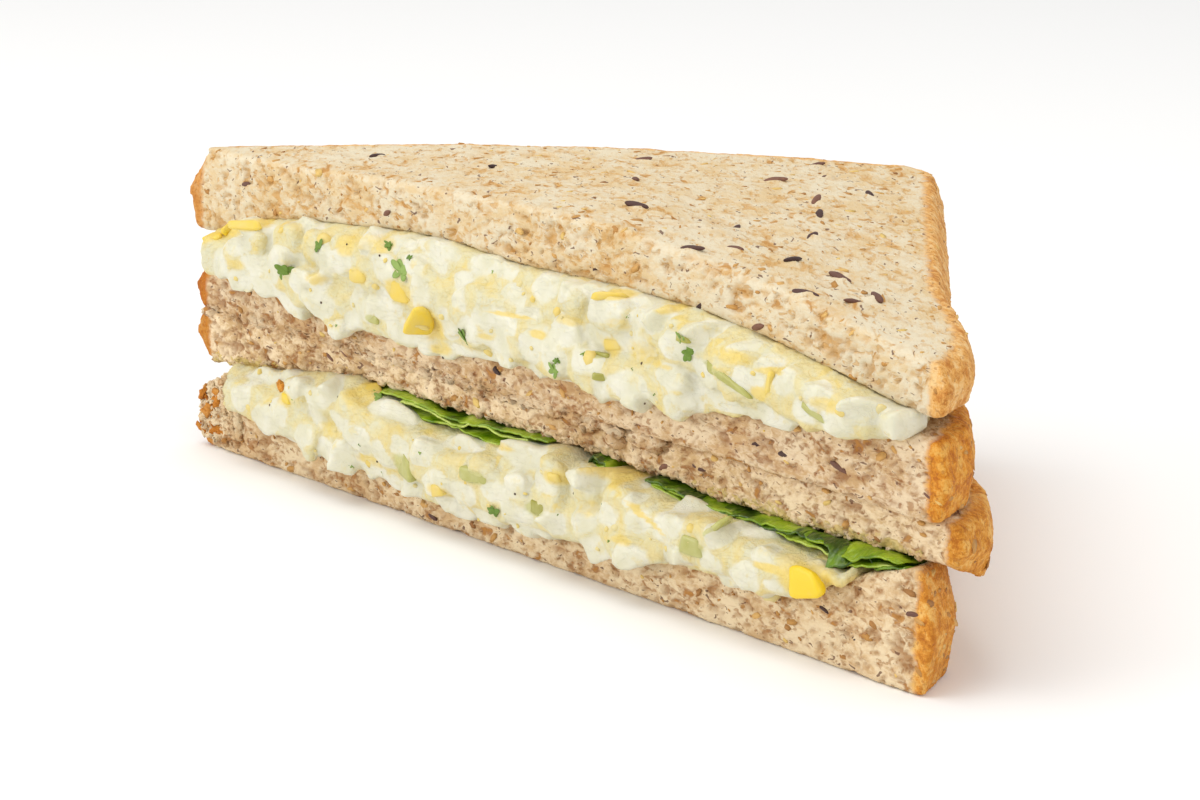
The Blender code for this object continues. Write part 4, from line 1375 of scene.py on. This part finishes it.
def makeSeamCrumb():
    rng = random.Random(61)
    above = surfaceOf(slices["bread_second"])
    below = surfaceOf(slices["bread_third"])
    both = surfaceOf(slices["bread_second"], slices["bread_third"])
    seam = loose["seam"]
    inner = cutY + 1.5 * mm
    places = []
    for _ in range(seam["count"]):
        x = rng.uniform(*seam["x"]) * mm
        under = above.ray_cast(Vector((x, inner, -0.01)), up)[0]
        over = below.ray_cast(Vector((x, inner, 0.2)), -up)[0]
        if not under or not over:
            continue
        at = fromCut(both, x, 0.5 * (under.z + over.z) + rng.gauss(0.0, 0.45) * mm)[0]
        if at:
            size = rng.choice(seam["sizes"]) * rng.uniform(0.8, 1.2) * mm
            at.y = min(at.y, cutY + 0.6 * mm) + 0.3 * size
            places.append(crumbAt(rng, at, size, 0.4))
    crumbPiece("seamCrumb", places, "bread_second", loose["deep"], "bread_dark")


def makeEdgeCrumb():
    rng = random.Random(63)
    surface = surfaceOf(slices["bread_third"])
    edge = loose["edge"]
    dry = []
    wet = []
    for _ in range(edge["count"]):
        x = rng.uniform(*edge["x"])
        under = surface.ray_cast(Vector((x * mm, cutY + smear["deep"] * mm, -0.01)), up)[0]
        at = fromCut(surface, x * mm, under.z + rng.uniform(*edge["rise"]) * mm)[0] if under else None
        if at:
            size = rng.choice(edge["sizes"]) * rng.uniform(0.8, 1.2) * mm
            smeared = any(first < x < last for first, last in smear["spans"]) and rng.random() < 0.5
            at.y += 0.3 * size
            (wet if smeared else dry).append(crumbAt(rng, at, size, 0.5))
    crumbPiece("edgeCrumb", dry, "bread_third", loose["deep"], "bread_dark")
    crumbPiece("smearedCrumb", wet, "bread_third", loose["deep"], "bread_dark", 1.0)


def makeTornEnd():
    rng = random.Random(67)
    surface = surfaceOf(slices["bread_bottom"], mashes["egg_salad_lower"])
    made = {"torn": [], "flakes": []}
    for kind, places in made.items():
        facts = loose[kind]
        for _ in range(facts["count"]):
            x = rng.uniform(*facts["x"]) * mm
            z = rng.uniform(*loose["tornZ"]) * mm
            at = fromCut(surface, max(x, loose["endX"] * mm), z)[0]
            if not at:
                continue
            size = rng.choice(facts["sizes"]) * rng.uniform(0.8, 1.2) * mm
            tilt = rng.uniform(-0.8, 0.8) if kind == "flakes" else 0.0
            y = min(at.y, cutY + 1.0 * mm) - facts["proud"] * size
            place = Vector((x, y, max(z, size * 0.6)))
            places.append(crumbAt(rng, place, size, 1.5, facts["thick"], Matrix.Rotation(tilt, 3, "X")))
    at, normal = asSeen(surface, loose["fleck"][0] * mm, loose["fleck"][1] * mm)
    made["flakes"].append({
        "at": at, "turn": facing(normal, -0.6), "size": Vector((2.6, 1.2, 0.9)) * mm, "tone": 0.4,
    })
    crumbPiece("tornCrumb", made["torn"], "bread_bottom", loose["deep"], "bread_light")
    crumbPiece("crustFlakes", made["flakes"], "bread_bottom", 0.0, "crust")


makeSeamCrumb()
makeEdgeCrumb()
makeTornEnd()
print("crumbs ready")

# Lettuce
leaves = {
    "lettuce_left": {"name": "lettuceLeft", "x": (-40.0, 6.5), "seed": 3, "curl": 0.0, "frill": 0.25},
    "lettuce_right": {"name": "lettuceRight", "x": (12.0, 78.0), "seed": 8, "curl": 1.6, "frill": 0.6},
}
leafShape = {
    "sheets": 3,
    "columns": 150,
    "rows": 22,
    "depth": 20.0,
    "out": (0.3, 1.3),        # mm in front of the cut
    "droop": 0.15,
    "thick": 0.3,
    "curlFrom": 52.0,         # the outer leaf's frilly end
}


def leafFinish():
    def mix(recipe):
        place = recipe.objectPlace()
        tone = recipe.attribute("tone")
        patch = recipe.noise(place, 4.0 * mm, 3.0)
        colour = recipe.ramp(
            patch * 0.6 + tone * 0.4,
            (0.36, (0.025, 0.07, 0.001)), (0.45, (0.14, 0.27, 0.002)), (0.55, (0.32, 0.46, 0.014)),
            (0.68, (0.56, 0.66, 0.15)),
        )
        veins = recipe.noise(recipe.vector("MULTIPLY", place, (2.2, 0.5, 1.0)), 1.6 * mm, 2.0)
        vein = recipe.step(veins, 0.6, 0.68)
        colour = recipe.blend(vein * 0.45, colour, (0.32, 0.42, 0.06))
        return {
            "Base Color": colour,
            "Roughness": 0.32,
            "Coat Weight": 0.15,
            "Coat Roughness": 0.2,
            "Normal": recipe.bump(veins + patch * 2.0, 0.5 * mm, 0.9),
        }

    return finish("lettuceLeaf", mix)


def makeLettuce(node, facts, paint, ceiling, floor):
    rng = random.Random(facts["seed"])
    lowX, highX = ((x - loaf["planX"]) * mm for x in facts["x"])
    work = bmesh.new()
    tones = []
    columns = leafShape["columns"]
    rows = leafShape["rows"]

    # Half way between the cut and the face of the slice above, which has turned back
    def breadFace(x, z):
        hit = ceiling.ray_cast(Vector((x, -0.2, z + 1.5 * mm)), Vector((0.0, 1.0, 0.0)))[0]
        return 0.5 * (cutY + (hit.y if hit else cutY))

    for sheet in range(leafShape["sheets"]):
        share = (sheet + 0.5) / leafShape["sheets"]
        start = lowX + (highX - lowX) * rng.uniform(0.0, 0.06)
        end = highX - (highX - lowX) * rng.uniform(0.0, 0.05)
        topZ = 18.0 * mm
        lowZ = 12.0 * mm
        phase = rng.uniform(0.0, 50.0)
        tone = rng.random()
        grid = []
        for i in range(columns + 1):
            along = i / columns
            x = start + (end - start) * along
            fade = min(1.0, 6.0 * min(along, 1.0 - along) + 0.15)
            inner = cutY + 3.5 * mm
            top = ceiling.ray_cast(Vector((x, inner, 12.0 * mm)), up)[0]
            low = floor.ray_cast(Vector((x, inner, 17.0 * mm)), -up)[0]
            topZ = top.z if top else topZ
            lowZ = low.z if low and low.z < topZ else min(lowZ, topZ)
            face = breadFace(x, topZ)
            curling = facts["curl"] * min(1.0, max(0.0, (x / mm - leafShape["curlFrom"]) / 14.0))
            frill = noise.noise(Vector((x / (4.5 * mm), phase, 0.0)))
            fine = facts["frill"] * noise.noise(Vector((x / (1.6 * mm), phase, 5.0)))
            least, most = leafShape["out"]
            out = least + (most - least) * (0.5 + 0.7 * frill) + 0.45 * fine
            out += curling * (0.5 + frill + 0.4 * fine)
            out = max(out, -0.5) * fade * mm
            line = []
            for j in range(rows + 1):
                inward = j / rows
                y = face - out + (leafShape["depth"] * mm * fade + out) * inward ** 1.6
                wave = noise.noise(Vector((x / (9.0 * mm), y / (7.0 * mm), phase)))
                curl = noise.noise(Vector((x / (2.0 * mm), y / (3.0 * mm), phase + 9.0)))
                level = share + 0.6 * wave + 0.5 * facts["frill"] * curl * (1.0 - inward)
                level = min(1.0, max(0.0, level))
                z = lowZ + (topZ - lowZ) * level
                front = max(0.0, face - y)
                fall = leafShape["droop"] * front * (1.0 + 0.8 * frill)
                z -= fall + 0.15 * curling * front * (1.0 + fine)
                line.append(work.verts.new((x, y, z)))
                tones.append(tone)
            grid.append(line)
        for i in range(columns):
            for j in range(rows):
                work.faces.new((grid[i][j], grid[i + 1][j], grid[i + 1][j + 1], grid[i][j + 1]))
    bmesh.ops.recalc_face_normals(work, faces=work.faces)
    mesh = meshFrom(facts["name"], work)
    setAttribute(mesh, "tone", "FLOAT", "value", tones)
    mesh.shade_smooth()
    leaf = addPiece(facts["name"], mesh)
    thick = leaf.modifiers.new("thick", "SOLIDIFY")
    thick.thickness = leafShape["thick"] * mm
    settle(leaf)
    leaf.data.materials.append(paint)
    handOver(leaf, "lettuce", node)


leafPaint = leafFinish()
breadAbove = surfaceOf(slices["bread_third"])
eggBelow = surfaceOf(mashes["egg_salad_lower"])
for node, facts in leaves.items():
    makeLettuce(node, facts, leafPaint, breadAbove, eggBelow)
print("lettuce ready")
